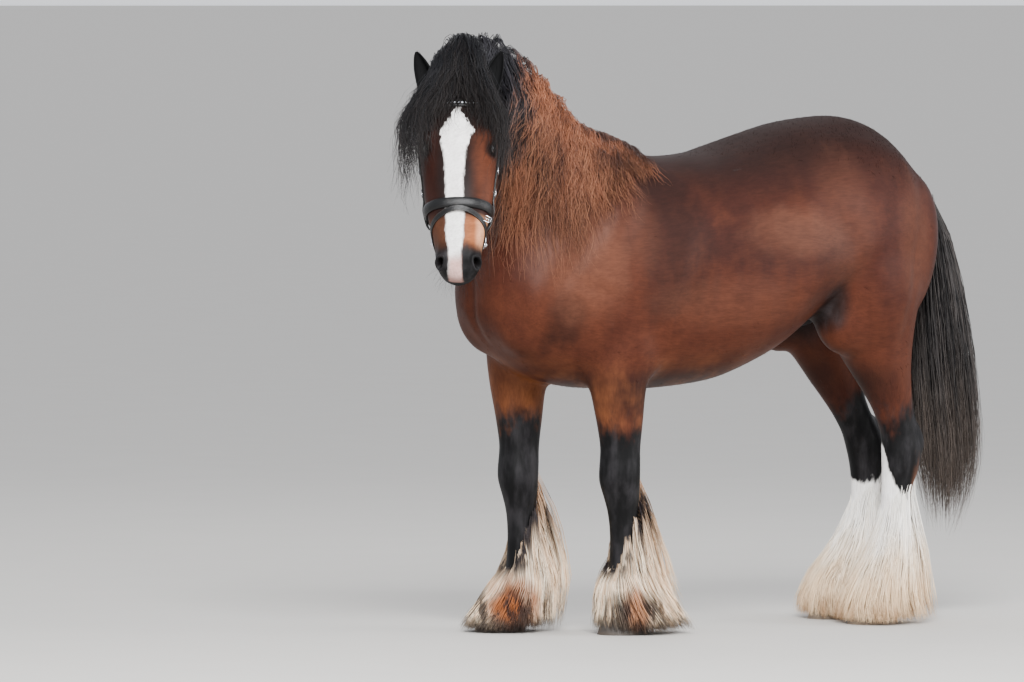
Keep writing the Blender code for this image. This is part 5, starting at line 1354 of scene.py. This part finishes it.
featherFinish = {
    "fore": hairMaterial("fore_feather_hair", colour(238, 200, 160), colour(254, 243, 222),
                         colour(248, 222, 188), foreFeatherSun, 0.12),
    "hind": hairMaterial("hind_feather_hair", colour(250, 244, 234), colour(254, 253, 250),
                         colour(250, 238, 218), hindFeatherSun, 0.12),
}
feathers = {}
for number, legName in enumerate(body["legs"]):
    pieceName = "feather_" + legName.replace("leg_", "_") + "_hair"
    feathers[legName] = sweptStrands(pieceName, makeFeather(legName, 20 + number), featherFinish[legName[:4]])


forelock = {
    "locks": 230, "strands": 11, "shortest": 0.5, "width": 0.024, "depth": 0.012, "clump": 0.5,
    "curl": 0.0075, "wave": 0.1, "stray": 0.018, "lean": 0.02, "girth": 0.0018, "taper": 2.0, "points": 12,
    # a lock's course by its share, as places down the face and out of it: next to the skin, and over the arch
    "shares": (0.0, 0.1, 0.22, 0.38, 1.0),
    "low": ((0.0, -0.026, -0.022, 0.02), (-0.05, -0.034, 0.0, 0.02)),
    "high": ((-0.05, -0.15, -0.14, -0.05), (-0.03, -0.02, 0.046, 0.088)),
}


def makeForelock():
    # locks that part over the forehead, longer to the horse's right than to its left
    draw = random.Random(15)
    strands = Strands(forelock["points"])
    shares = np.linspace(0, 1, 9)
    for index in range(forelock["locks"]):
        way = -1 if index % 2 else 1
        reach = 1.06 * evenly(index) ** (0.85 if way < 0 else 1.2)
        layer = (index // 2 % 5) / 4
        high = layer * (1 - 0.35 * reach * (way < 0))
        longest = 0.36 - 0.6 * max(reach - 0.8, 0) if way < 0 else 0.23
        length = 0.075 + 0.045 * draw.random() + longest * reach**1.1 * draw.uniform(0.75, 1.1)
        far = 0.004 + (0.154 if way < 0 else 0.128) * reach ** (0.8 if way < 0 else 0.65)
        near = 0.07 * reach
        ends = length, (0.066 - 0.06 * reach) * (0.66 + 0.34 * layer)
        courses = []
        for lowRow, highRow, end in zip(forelock["low"], forelock["high"], ends):
            row = [low + (top - low) * high for low, top in zip(lowRow, highRow)]
            courses.append(np.interp(shares, forelock["shares"], (*row, end)))
        path, ways = [], []
        for share, down, out in zip(shares, *courses):
            fall = min(max((down + 0.03) / 0.15, 0), 1)
            spread = fall * fall * (3 - 2 * fall)
            atTop = near * min(max(0.55 + (down + 0.14) * 4.5, 0.55), 1)
            aside = way * (atTop + (far - atTop) * spread)
            if down > -0.02:
                face, _, _, _ = skinTree.ray_cast(headPoint(down, 0.3, aside), -faceOut, 0.42)
                out = max(out, (face - poll).dot(faceOut) + 0.004 + 0.016 * layer) if face else out
            path.append(headPoint(down, out, aside))
            outward = faceOut * max(share * 1.6, 0.2) - headAxis * max(1 - share * 2.2, 0)
            ways.append((outward + headLeft * (way * reach * min(share * 2, 1))).normalized())
        path, ways = curved(path, forelock["points"]), unit(curved(ways, forelock["points"]))
        for moved, aside, girths, tint in tuftOf(strands, draw, path, ways, forelock):
            strands.add(moved, aside, girths, (0.5 + way * reach * 0.3, 0.3 + layer * 0.1), tint)
    return strands


forelockFinish = hairMaterial("forelock_hair", colour(6, 6, 8), colour(20, 20, 24), colour(56, 48, 44))
forelockHair = sweptStrands("forelock_hair", makeForelock(), forelockFinish)


tuft = {
    "count": 7000, "points": 4, "length": (0.01, 0.028), "girth": 0.00065, "rise": 0.16,
    # where the short hair breaks the outline: x, y, height, reach and how much
    "places": [
        (-0.4, 0, 0.72, 0.16, 1.0), (0.05, 0, 0.71, 0.3, 0.8), (-0.72, 0, 0.93, 0.16, 0.8),
        (-0.46, -0.17, 0.62, 0.2, 0.9), (-0.53, 0.17, 0.62, 0.2, 0.9), (0.6, -0.17, 0.62, 0.22, 0.9),
        (0.62, 0.17, 0.62, 0.22, 0.9), (0.34, 0, 0.9, 0.16, 1.0), (0.7, -0.1, 1.05, 0.16, 0.6),
        (0.7, 0.1, 1.05, 0.16, 0.6), (-0.95, -0.2, 1.45, 0.2, 0.9),
    ],
    "everywhere": 0.003, "inEars": 4.0, "onFace": 0.25,
}


def lieOf(places, normals):
    # short hair lies back along the trunk, down the legs and up from the nose to the poll
    legs = np.clip((0.8 - places[:, 2]) / 0.12, 0, 1)[:, None]
    local = inHead(places)
    onHead = (~besidesHead(places) & (local[:, 0] > -0.02))[:, None]
    lie = np.array((0.92, 0, -0.38)) * (1 - legs) + np.array((0.05, 0, -1.0)) * legs
    lie = np.where(onHead, np.array(headAxis) * 0.9, lie)
    inEar = (local[:, 0] < -0.01) & (np.abs(local[:, 2]) > 0.055) & (local[:, 1] < 0.03)
    lie = np.where(inEar[:, None], -np.array(headAxis), lie)
    lie = lie - normals * (lie * normals).sum(axis=1, keepdims=True)
    return unit(lie), inEar


def makeTufts():
    # thin tapered hairs over the skin, most where they break its outline
    draw = np.random.default_rng(41)
    corners = triangleCorners(horse)
    places, normals = vertexPlaces(horse), vertexNormals(horse)
    middles = places[corners].mean(axis=1)
    edges = places[corners[:, 1:]] - places[corners[:, :1]]
    areas = np.linalg.norm(np.cross(edges[:, 0], edges[:, 1]), axis=1) / 2
    weight = np.full(len(middles), tuft["everywhere"])
    for x, y, z, reach, much in tuft["places"]:
        away = np.linalg.norm(middles - np.array((x, y, z)), axis=1) / reach
        weight = np.maximum(weight, much * np.clip(1.4 - away, 0, 1))
    _, inEar = lieOf(middles, normals[corners[:, 0]])
    weight = np.where(inEar, tuft["inEars"], weight)
    local = inHead(middles)
    onFace = ~besidesHead(middles) & (local[:, 0] > 0.05) & (local[:, 1] > -0.15)
    weight = np.where(onFace, tuft["onFace"], weight)
    weight = np.where(middles[:, 2] < 0.12, 0, weight) * areas
    chosen = draw.choice(len(middles), tuft["count"], p=weight / weight.sum())
    a, b = np.sqrt(draw.random((2, tuft["count"], 1)))
    share = np.stack([1 - a, a * (1 - b), a * b])
    roots = sum(share[i] * places[corners[chosen, i]] for i in range(3))
    outward = unit(sum(share[i] * normals[corners[chosen, i]] for i in range(3)))
    lie, inEar = lieOf(roots, outward)
    lie = unit(lie + np.cross(lie, outward) * draw.normal(0, 0.22, (len(lie), 1)))
    low, high = tuft["length"]
    size = (low + (high - low) * draw.random((len(lie), 1)) ** 1.5) * np.where(inEar, 0.7, 1)[:, None]
    onHead = ~besidesHead(roots) & (inHead(roots)[:, 0] > 0.0) & ~inEar
    size = size * np.where(onHead, 0.45, 1)[:, None]
    strands = Strands(tuft["points"])
    girths = tuft["girth"] * np.array((0.8, 1, 0.7, 0.1))
    for root, way, out, length in zip(roots, lie, outward, size):
        path = []
        for t in (0.0, 0.33, 0.67, 1.0):
            path.append(root + way * length * t + out * (length * tuft["rise"] * math.sin(t * 2.2) - 0.0012))
        x, y, z = root
        patch = (x + 1.1) / 2.3, z / 3.7 + (0.5 if y > 0 else 0)
        strands.add(np.array(path), np.tile(out, (4, 1)), girths, patch, draw.random())
    return strands


tufts = sweptStrands("coat_tufts", makeTufts(), coatFinish, 0.35)


def makeEye(name, way):
    centre, look, long, short = eyeFrame(way)
    mesh = bmesh.new()
    addBall(mesh, centre, [eye["radius"]] * 3, segments=64)
    for vert in mesh.verts:
        away = (vert.co - centre).normalized()
        vert.co += away * eye["bulge"] * max((away.dot(look) - 0.6) / 0.4, 0) ** 0.7
    obj = meshObject(name, mesh)
    places = vertexPlaces(obj) - np.array(centre)
    gaze = obj.data.attributes.new("gaze", "FLOAT_VECTOR", "POINT")
    local = places @ np.array([long, short, look]).T / eye["radius"]
    gaze.data.foreach_set("vector", local.astype(np.float32).ravel())
    obj.data.shade_smooth()
    return obj


def eyeMaterial():
    material, shader, wire = newMaterial("dark_eye")
    gaze = wire.attribute("gaze", 1)
    a, b = gaze.dot((1, 0, 0)), gaze.dot((0, 1, 0))
    pupil = ((a * a) * 3.2 + (b * b) * 9.5).rise(1.15, 0.95)
    iris = (a * a + b * b).rise(0.82, 0.66)
    rays = gaze.noise(14.0, 3.0)
    tone = iris.mixed(colour(34, 24, 22), rays.mixed(colour(38, 20, 12), colour(84, 48, 26)))
    tone = pupil.mixed(tone, colour(6, 6, 9))
    feed(wire, shader, Base_Color=tone, Roughness=0.06, Coat_Roughness=0.02, Coat_Weight=0.6)
    return material


eyeFinish = eyeMaterial()
eyes = {way: makeEye(f"eye_{word}_ball", way) for way, word in ((1, "left"), (-1, "right"))}


hoof = {
    # height as a share of the coronet's, forward shift, half width, reach forward and back
    "rows": [
        (0.0, 0.036, 0.069, 0.079, 0.072), (0.03, 0.0358, 0.0695, 0.0795, 0.0725),
        (0.45, 0.03, 0.0655, 0.07, 0.0655), (0.9, 0.023, 0.06, 0.059, 0.056), (1.0, 0.021, 0.054, 0.051, 0.05),
    ],
    "coronet": 0.068, "slope": -0.26, "rings": 9, "ringDepth": 0.006, "rear": {"fore": 0.0, "hind": 0.05},
}


def makeHoof(end, word):
    x, y = legLine(f"{end}leg_{word}", hoof["coronet"])
    rings = []
    for share, ahead, width, front, back in smoothRows(hoof["rows"], 6):
        grown = 1 + hoof["ringDepth"] * math.sin(share * hoof["rings"] * 6.283) * (0 < share < 0.95)
        points = []
        for angle in roundAngles(56):
            a, b = math.cos(angle), math.sin(angle)
            local = -ahead - (front if b > 0 else back) * b * grown + hoof["rear"][end]
            height = (hoof["coronet"] + hoof["slope"] * local) * max(share, 0)
            points.append(Vector((x + local, y + width * a * grown, height)))
        rings.append(points)
    mesh = bmesh.new()
    addLoft(mesh, rings)
    obj = meshObject(f"hoof_{end}_{word}_horn", mesh)
    obj.data.shade_smooth()
    return obj


def hoofMaterial():
    # banded horn, dusty at the edge and darker on the fore hooves
    material, shader, wire = newMaterial("hoof_horn")
    place = horsePlace(wire)
    x, z = place.dot((1, 0, 0)), place.dot((0, 0, 1))
    bands = place.noise(60.0, 3.0, (0.2, 0.2, 2.2))
    grain = place.noise(300.0, 2.0, (1, 1, 0.1))
    tone = bands.mixed(colour(66, 60, 56), colour(128, 118, 106))
    tone = (z.rise(0.02, 0.0) * 0.6).mixed(tone, colour(112, 94, 74))
    tone = (x.rise(0.1, -0.1) * 0.75).mixed(tone, colour(34, 31, 30))
    bump = (bands * 0.7 + grain * 0.3).bump(0.5, 0.001)
    feed(wire, shader, Base_Color=tone, Roughness=0.55 + grain * 0.2, Normal=bump)
    return material


hoofFinish = hoofMaterial()
hooves = {(end, word): makeHoof(end, word) for end in ("fore", "hind") for word in ("left", "right")}


faceTree = treeOf(horse, lambda middles: ~besidesHead(middles) & (inHead(middles)[:, 0] > -0.03))
bridle = {
    "thickness": 0.0044, "rest": 0.0012, "cheekWidth": 0.019, "browWidth": 0.022, "crownWidth": 0.026,
    "hangerWidth": 0.012, "hangerThickness": 0.0036, "noseWidth": 0.029, "noseThickness": 0.006,
    "noseCrown": 0.35, "flashWidth": 0.015, "flashThickness": 0.0035,
}


def aroundHead(along, heartOut, angle):
    heart = headPoint(along, heartOut, 0)
    turned = math.radians(angle)
    away = faceOut * math.cos(turned) + headLeft * math.sin(turned)
    return surfaceHit(faceTree, heart + away * 0.4, heart)


def besideHead(along, out, way):
    return surfaceHit(faceTree, headPoint(along, out, 0.3 * way), headPoint(along, out, 0))


def evened(values, closed):
    # each inner value drawn towards the two beside it
    count = len(values)
    made = []
    for i, value in enumerate(values):
        inner = closed or 0 < i < count - 1
        made.append(values[i - 1] + value * 2 + values[(i + 1) % count] if inner else value * 4)
    return made


def addStrap(mesh, hits, width, thickness, lifts=None, closed=False, crown=0.0):
    # a strap with rounded edges that rests on the short coat, crowned where it is padded
    count = len(hits)
    places, normals = [hit[0] for hit in hits], [hit[1] for hit in hits]
    for _ in range(4):
        normals = [normal.normalized() for normal in evened(normals, closed)]
        places = [place / 4 for place in evened(places, closed)]
    profile = [(-0.94, 0.0), (0.94, 0.0), (1.0, 0.22), (1.0, 0.72), (0.92, 0.96), (0.5, 1.02 + crown * 0.75),
               (0, 1.04 + crown), (-0.5, 1.02 + crown * 0.75), (-0.92, 0.96), (-1.0, 0.72), (-1.0, 0.22)]
    rings, middles = [], []
    for index, (place, normal) in enumerate(zip(places, normals)):
        after = places[(index + 1) % count] if closed or index < count - 1 else place
        before = places[index - 1] if closed or index > 0 else place
        across = (after - before).cross(normal).normalized() * (width / 2)
        lift = bridle["rest"] + (lifts[index] if lifts else 0.0)
        rings.append([place + across * a + normal * (lift + thickness * b) for a, b in profile])
        middles.append((place + normal * (lift + thickness), normal, across))
    addLoft(mesh, rings, closed)
    return middles


def strapRow(count, low, high):
    return [low + (high - low) * i / (count - 1) for i in range(count)]


def makeBridle():
    # the leather of each strap, and the middle lines that stitches and crystals follow
    made, lines = {}, []
    thickness = bridle["thickness"]
    mesh = bmesh.new()
    for way in (-1, 1):
        alongs = strapRow(40, 0.06, 0.405)
        hits = [besideHead(a, -0.052 - 0.012 * (a - 0.06) / 0.345, way) for a in alongs]
        lifts = [0.0058 * min(max(1 - abs(a - 0.372) / 0.045, 0) * 2, 1) for a in alongs]
        lines.append(addStrap(mesh, hits, bridle["cheekWidth"], thickness, lifts))
    hits = [aroundHead(0.064, -0.06, angle) for angle in strapRow(60, -98, 98)]
    browMiddles = addStrap(mesh, hits, bridle["browWidth"], thickness)
    lines.append(browMiddles)
    hits = []
    heart = headPoint(0.075, -0.08, 0)
    for angle in (math.radians(a) for a in strapRow(50, -96, 96)):
        away = headLeft * math.sin(angle) - headAxis * math.cos(angle) * 1.4
        far = heart + away * 0.4 + faceOut * 0.03 * abs(math.sin(angle))
        hits.append(surfaceHit(faceTree, far, heart + faceOut * 0.028 * abs(math.sin(angle)) ** 3))
    lines.append(addStrap(mesh, hits, bridle["crownWidth"], thickness))
    for way in (-1, 1):
        # the strap that carries the noseband, behind the cheekpiece
        hits = [besideHead(a, -0.074 - 0.006 * (a - 0.07) / 0.28, way) for a in strapRow(30, 0.075, 0.366)]
        lines.append(addStrap(mesh, hits, bridle["hangerWidth"], bridle["hangerThickness"]))
    made["headpiece"] = meshObject("bridle_headpiece_leather", mesh)
    mesh = bmesh.new()
    hits = []
    for angle in range(0, 360, 5):
        hits.append(aroundHead(0.372 - 0.01 * math.cos(math.radians(angle)), -0.05, angle))
    lines.append(addStrap(mesh, hits, bridle["noseWidth"], bridle["noseThickness"], None, True,
                          bridle["noseCrown"]))
    made["noseband"] = meshObject("bridle_noseband_leather", mesh)
    mesh = bmesh.new()
    hits, lifts = [], []
    for angle in range(0, 360, 5):
        share = (1 - math.cos(math.radians(angle))) / 2
        hits.append(aroundHead(0.3785 + 0.146 * share**0.8, -0.052, angle))
        lifts.append(0.0068 * max(1 - share / 0.06, 0))
    lines.append(addStrap(mesh, hits, bridle["flashWidth"], bridle["flashThickness"], lifts, True))
    made["flash"] = meshObject("bridle_flash_leather", mesh)
    for obj in made.values():
        obj.data.shade_smooth()
        obj.data.set_sharp_from_angle(angle=math.radians(50))
    return made, lines, browMiddles


straps, strapLines, browLine = makeBridle()


def leatherMaterial():
    # smooth leather with fine cells and a little wear
    material, shader, wire = newMaterial("black_leather")
    place = horsePlace(wire)
    asked = {"Vector": place, "Scale": 620.0}
    cells = wire.add("ShaderNodeTexVoronoi", {"feature": "DISTANCE_TO_EDGE"}, asked)
    worn = place.noise(55.0, 3.0)
    tone = worn.rise(0.55, 0.75).mixed(colour(10, 10, 11), colour(30, 27, 26))
    bump = cells.rise(0.0, 0.25).bump(0.3, 0.0004)
    feed(wire, shader, Base_Color=tone, Roughness=0.24 + worn * 0.22, Normal=bump, Specular_IOR_Level=0.28)
    return material


def plainMaterial(name, tone, second, roughness, metallic=0.0):
    # a finish with faint marks of wear
    material, shader, wire = newMaterial(name)
    marks = horsePlace(wire).noise(90.0, 4.0)
    feed(wire, shader, Base_Color=marks.rise(0.4, 0.7).mixed(tone, second), Roughness=roughness + marks * 0.14,
         Metallic=metallic)
    return material


leather = leatherMaterial()
steel = plainMaterial("polished_steel", colour(214, 214, 218), colour(178, 178, 184), 0.1, 1.0)
thread = plainMaterial("waxed_thread", colour(88, 84, 80), colour(58, 55, 53), 0.6)
crystal = plainMaterial("clear_crystal", colour(236, 240, 246), colour(206, 214, 230), 0.03)


def rowTree():
    # copies of a small piece along paths, turned to their way
    tree, wire, (source, piece, spacing, material) = nodeGroup("RowOfPieces", (
        ("Geometry", "Geometry", None), ("Piece", "Object", None), ("Spacing", "Float", 0.004),
        ("Material", "Material", None),
    ))
    curve = wire.add("GeometryNodeMeshToCurve", None, {"Mesh": source})
    points = tree.nodes.new("GeometryNodeCurveToPoints")
    points.mode = "LENGTH"
    tree.links.new(curve.socket, points.inputs["Curve"])
    tree.links.new(spacing.socket, points.inputs["Length"])
    outward = wire.add("GeometryNodeInputNamedAttribute", {"data_type": "FLOAT_VECTOR"}, {"Name": "way"})
    turned = wire.add("FunctionNodeAxesToRotation", {"primary_axis": "Z", "secondary_axis": "X"},
                      {"Primary Axis": outward, "Secondary Axis": Wire(tree, points.outputs["Tangent"])})
    shown = wire.add("GeometryNodeObjectInfo", None, {"Object": piece}, 4)
    made = wire.add("GeometryNodeInstanceOnPoints", None,
                    {"Points": Wire(tree, points.outputs["Points"]), "Instance": shown, "Rotation": turned})
    return closeGroup(tree, made, material)


copiesTree = rowTree()


def rowOf(name, lines, piece, spacing, material):
    mesh = bmesh.new()
    way = mesh.verts.layers.float_vector.new("way")
    for line in lines:
        before = None
        for place, normal in line:
            vert = mesh.verts.new(place)
            vert[way] = normal
            if before:
                mesh.edges.new((before, vert))
            before = vert
    obj = meshObject(name, mesh)
    modifier = obj.modifiers.new("row", "NODES")
    modifier.node_group = copiesTree
    setInputs(modifier, Piece=piece, Spacing=spacing, Material=material)
    return applied(obj)


def smallPiece(radii, segments):
    mesh = bmesh.new()
    addBall(mesh, Vector((0, 0, 0)), radii, segments=segments)
    return meshObject("small_piece", mesh)


# Radii of a stitch and of a crystal, how far apart they are, and the seams' place on the strap's half width
trim = {"stitch": (0.0013, 0.0004, 0.0004), "stitchSpacing": 0.0042, "seam": 0.78,
        "crystal": (0.003, 0.003, 0.0022), "crystalSpacing": 0.0105}


def makeTrim():
    stitch, stud = smallPiece(trim["stitch"], 6), smallPiece(trim["crystal"], 8)
    seams = []
    for line in strapLines:
        for way in (-trim["seam"], trim["seam"]):
            seams.append([(place + across * way - normal * 0.0001, normal) for place, normal, across in line])
    stitches = rowOf("bridle_stitches", seams, stitch, trim["stitchSpacing"], thread)
    middle = [(place + normal * 0.0009, normal) for place, normal, _ in browLine]
    studs = rowOf("browband_crystals", [middle], stud, trim["crystalSpacing"], crystal)
    for piece in (stitch, stud):
        bpy.data.objects.remove(piece)
    return stitches, studs


stitches, studs = makeTrim()


# The corner of the mouth down the face and out of it, the rings and the bar of the bit
bitSizes = {"corner": (0.45, -0.076), "ring": 0.032, "girth": 0.0036, "bar": 0.0062,
            "joint": (0.0085, 0.0085, 0.0105)}


def makeBit():
    mesh = bmesh.new()
    ends = []
    girth = bitSizes["girth"]
    for way in (-1, 1):
        corner, _ = besideHead(*bitSizes["corner"], way)
        ends.append(corner + headLeft * 0.012 * way)
        outward = (headLeft * way + faceOut * 0.12).normalized()
        turned = outward.to_track_quat("Z", "Y").to_matrix()
        middle = ends[-1] + faceOut * 0.004 - headAxis * 0.023
        rings = []
        for angle in roundAngles(48):
            away = turned @ Vector((math.cos(angle), math.sin(angle), 0))
            rings.append(ring(middle + away * bitSizes["ring"], away, outward, girth, girth, girth, count=12))
        addLoft(mesh, rings, True)
        addBall(mesh, ends[-1], bitSizes["joint"], turned, 20)
    across = ends[1] - ends[0]
    place = Matrix.Translation((ends[0] + ends[1]) / 2) @ across.to_track_quat("Z", "Y").to_matrix().to_4x4()
    bmesh.ops.create_cone(mesh, cap_ends=True, segments=20, radius1=bitSizes["bar"], radius2=bitSizes["bar"],
                          depth=across.length, matrix=place)
    obj = meshObject("bridle_bit_steel", mesh)
    obj.data.shade_smooth()
    return obj


def addBuckle(mesh, place, normal, along, width, high):
    # a frame with rounded corners, and its tongue
    across = along.cross(normal).normalized()
    rings = []
    for angle in roundAngles(28):
        a, b = (math.copysign(abs(value) ** 0.45, value) for value in (math.cos(angle), math.sin(angle)))
        reach = across * (a * width / 2) + along * (b * high / 2)
        rings.append(ring(place + reach + normal * 0.001, reach.normalized(), normal, 0.0014, 0.0012, 0.0012,
                          count=8))
    addLoft(mesh, rings, True)
    rings = []
    for way in (-1.05, -0.3, 0.3, 1.05):
        centre = place + along * (high / 2 * way) + normal * 0.0018
        rings.append(ring(centre, across, normal, 0.0009, 0.0009, 0.0009, count=8))
    addLoft(mesh, rings)


def makeBuckles():
    mesh = bmesh.new()
    for way in (-1, 1):
        for along, out, width in ((0.3, -0.06, 0.024), (0.225, -0.077, 0.017)):
            place, normal = besideHead(along, out, way)
            addBuckle(mesh, place + normal * 0.006, normal, headAxis, width, 0.02)
    place, normal = aroundHead(0.4, -0.05, 52)
    addBuckle(mesh, place + normal * 0.006, normal, (headAxis * 0.5 + headLeft).normalized(), 0.019, 0.022)
    obj = meshObject("bridle_buckles", mesh)
    obj.data.shade_smooth()
    return obj


bit, buckles = makeBit(), makeBuckles()


whisker = {
    "count": 70, "length": 0.034, "girth": 0.00022, "lashes": 60, "lashLength": 0.012, "lashGirth": 0.00025,
    # the shares of a hair's length at which its points are, and its girth there
    "steps": (0, 0.2, 0.4, 0.6, 0.8, 1.0), "taper": (1, 1, 0.9, 0.8, 0.6, 0.3),
}


def makeWhiskers():
    draw = random.Random(31)
    strands = Strands(len(whisker["steps"]))
    ways, taper = np.tile(np.array(faceOut), (strands.points, 1)), np.array(whisker["taper"])
    for _ in range(whisker["count"]):
        angle, along = draw.uniform(-130, 130), draw.uniform(0.49, 0.575)
        heart = headPoint(min(along, 0.55), -0.06, 0)
        turned = math.radians(angle)
        away = headLeft * math.sin(turned) - faceOut * math.cos(turned) + headAxis * draw.uniform(0, 1.2)
        place, normal = surfaceHit(faceTree, heart + away * 0.3, heart)
        length = whisker["length"] * draw.uniform(0.5, 1.4)
        away = (normal + Vector([draw.gauss(0, 0.3) for _ in range(3)]) + headAxis * 0.4).normalized()
        path = [place - normal * 0.002 + away * length * t - up * 0.3 * length * t * t for t in whisker["steps"]]
        strands.add(np.array(path), ways, whisker["girth"] * taper, (0.2 + angle / 400, along), 0.4)
    wide, high = eye["opening"][0], 0.0124
    for way in (-1, 1):
        centre, look, long, short = eyeFrame(way)
        upper = -1 if short.dot(faceOut) < 0 else 1
        for index in range(whisker["lashes"]):
            angle = math.radians(20 + 140 * index / whisker["lashes"] + draw.uniform(-2, 2))
            rim = centre + look * 0.0185 + long * wide * math.cos(angle)
            rim = rim + short * high * math.sin(angle) ** 1.25 * upper
            away = (look * 0.9 + (rim - centre - look * 0.0185) * 30 - headAxis * 0.1 + up * -0.1).normalized()
            length = whisker["lashLength"] * draw.uniform(0.7, 1.1)
            path = [rim + away * length * t - up * 0.0035 * math.sin(t * 3) for t in whisker["steps"]]
            strands.add(np.array(path), ways, whisker["lashGirth"] * taper, (0.8 + 0.05 * way, index / 100), 0.3)
    return strands


whiskers = sweptStrands("whiskers_and_lashes", makeWhiskers(), forelockFinish, 1.0)


finished(horse, coatFinish, "bay_coat", "head", "neck", "torso", "foreleg_left", "foreleg_right",
         "hindleg_left", "hindleg_right", "ear_left", "ear_right")
for obj in maneHair:
    finished(obj, None, "mane_hair", "mane")
finished(tailHair, None, "tail_hair", "tail")
finished(forelockHair, None, "tail_hair", "forelock")
finished(whiskers, None, "black_coat")
finished(tufts, None, "bay_coat")
for legName, obj in feathers.items():
    finished(obj, None, "cream_feather", "feather_" + legName.replace("leg_", "_"))
for way, word in ((1, "left"), (-1, "right")):
    finished(eyes[way], eyeFinish, "eye", "eye_" + word)
for (end, word), obj in hooves.items():
    finished(obj, hoofFinish, "hoof_horn", f"hoof_{end}_{word}")
finished(straps["headpiece"], leather, "black_leather", "bridle_headpiece")
finished(straps["noseband"], leather, "black_leather", "bridle_noseband")
finished(straps["flash"], leather, "black_leather", "bridle_flash")
finished(stitches, None, "black_leather")
finished(studs, None, "steel")
finished(bit, steel, "steel", "bridle_bit")
finished(buckles, steel, "steel")
say("pieces in place")


studio = {
    "floor": colour(186, 183, 178), "floorMarks": 0.93, "floorSize": 6000,
    "sky": (0.93, 0.95, 1.0), "skyStrength": 1.25, "aim": (0, 0, 0.9),
    # each lamp's place, power and size
    "lamps": {"key": ((-3.4, -6.5, 5.6), 1720, 3.2), "fill": ((5.2, -5.0, 2.6), 420, 4.0),
              "rim": ((2.5, 5.0, 5.5), 90, 3.0)},
}


def makeStudio():
    mesh = bmesh.new()
    bmesh.ops.create_grid(mesh, x_segments=2, y_segments=2, size=studio["floorSize"])
    floor = meshObject("floor", mesh)
    material, shader, wire = newMaterial("pale_floor")
    place = wire.add("ShaderNodeTexCoord", None, None, 3)
    marks = tuple(value * studio["floorMarks"] for value in studio["floor"])
    feed(wire, shader, Base_Color=place.noise(3.0, 4.0).mixed(studio["floor"], marks), Roughness=0.8)
    floor.data.materials.append(material)
    world = bpy.data.worlds.new("studio")
    world.use_nodes = True
    background = world.node_tree.nodes["Background"]
    background.inputs[0].default_value = (*studio["sky"], 1)
    background.inputs[1].default_value = studio["skyStrength"]
    bpy.context.scene.world = world
    for name, (place, power, size) in studio["lamps"].items():
        lamp = bpy.data.lights.new(name, "AREA")
        lamp.energy, lamp.size = power, size
        obj = bpy.data.objects.new(name, lamp)
        obj.location = place
        obj.rotation_euler = (Vector(studio["aim"]) - Vector(place)).to_track_quat("-Z", "Y").to_euler()
        bpy.context.scene.collection.objects.link(obj)


# The photograph's view: its turn, how far and how high the camera is, its focal length in pixels, and the
# pixels across and down from the left and from the middle that the horse's own frame starts at
view = {"yaw": 32, "distance": 28.0, "height": 1.83, "focal": 9556, "row": 338, "column": 705,
        "pixels": 1024, "sensor": 36, "clip": 9000}


def makeCamera():
    yaw, pitch = math.radians(view["yaw"]), math.atan(view["row"] / view["focal"])
    look, right = Vector((math.sin(yaw), math.cos(yaw), 0)), Vector((math.cos(yaw), -math.sin(yaw), 0))
    offset = -(view["column"] - view["pixels"] / 2) * view["distance"] / view["focal"]
    data = bpy.data.cameras.new("camera")
    data.sensor_width, data.clip_end = view["sensor"], view["clip"]
    data.lens = view["focal"] * view["sensor"] / view["pixels"]
    camera = bpy.data.objects.new("camera", data)
    camera.location = right * offset + shift - look * view["distance"] + up * view["height"]
    camera.rotation_euler = (look * math.cos(pitch) - up * math.sin(pitch)).to_track_quat("-Z", "Y").to_euler()
    bpy.context.scene.collection.objects.link(camera)
    bpy.context.scene.camera = camera


makeStudio()
makeCamera()
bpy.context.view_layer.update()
say("scene done")
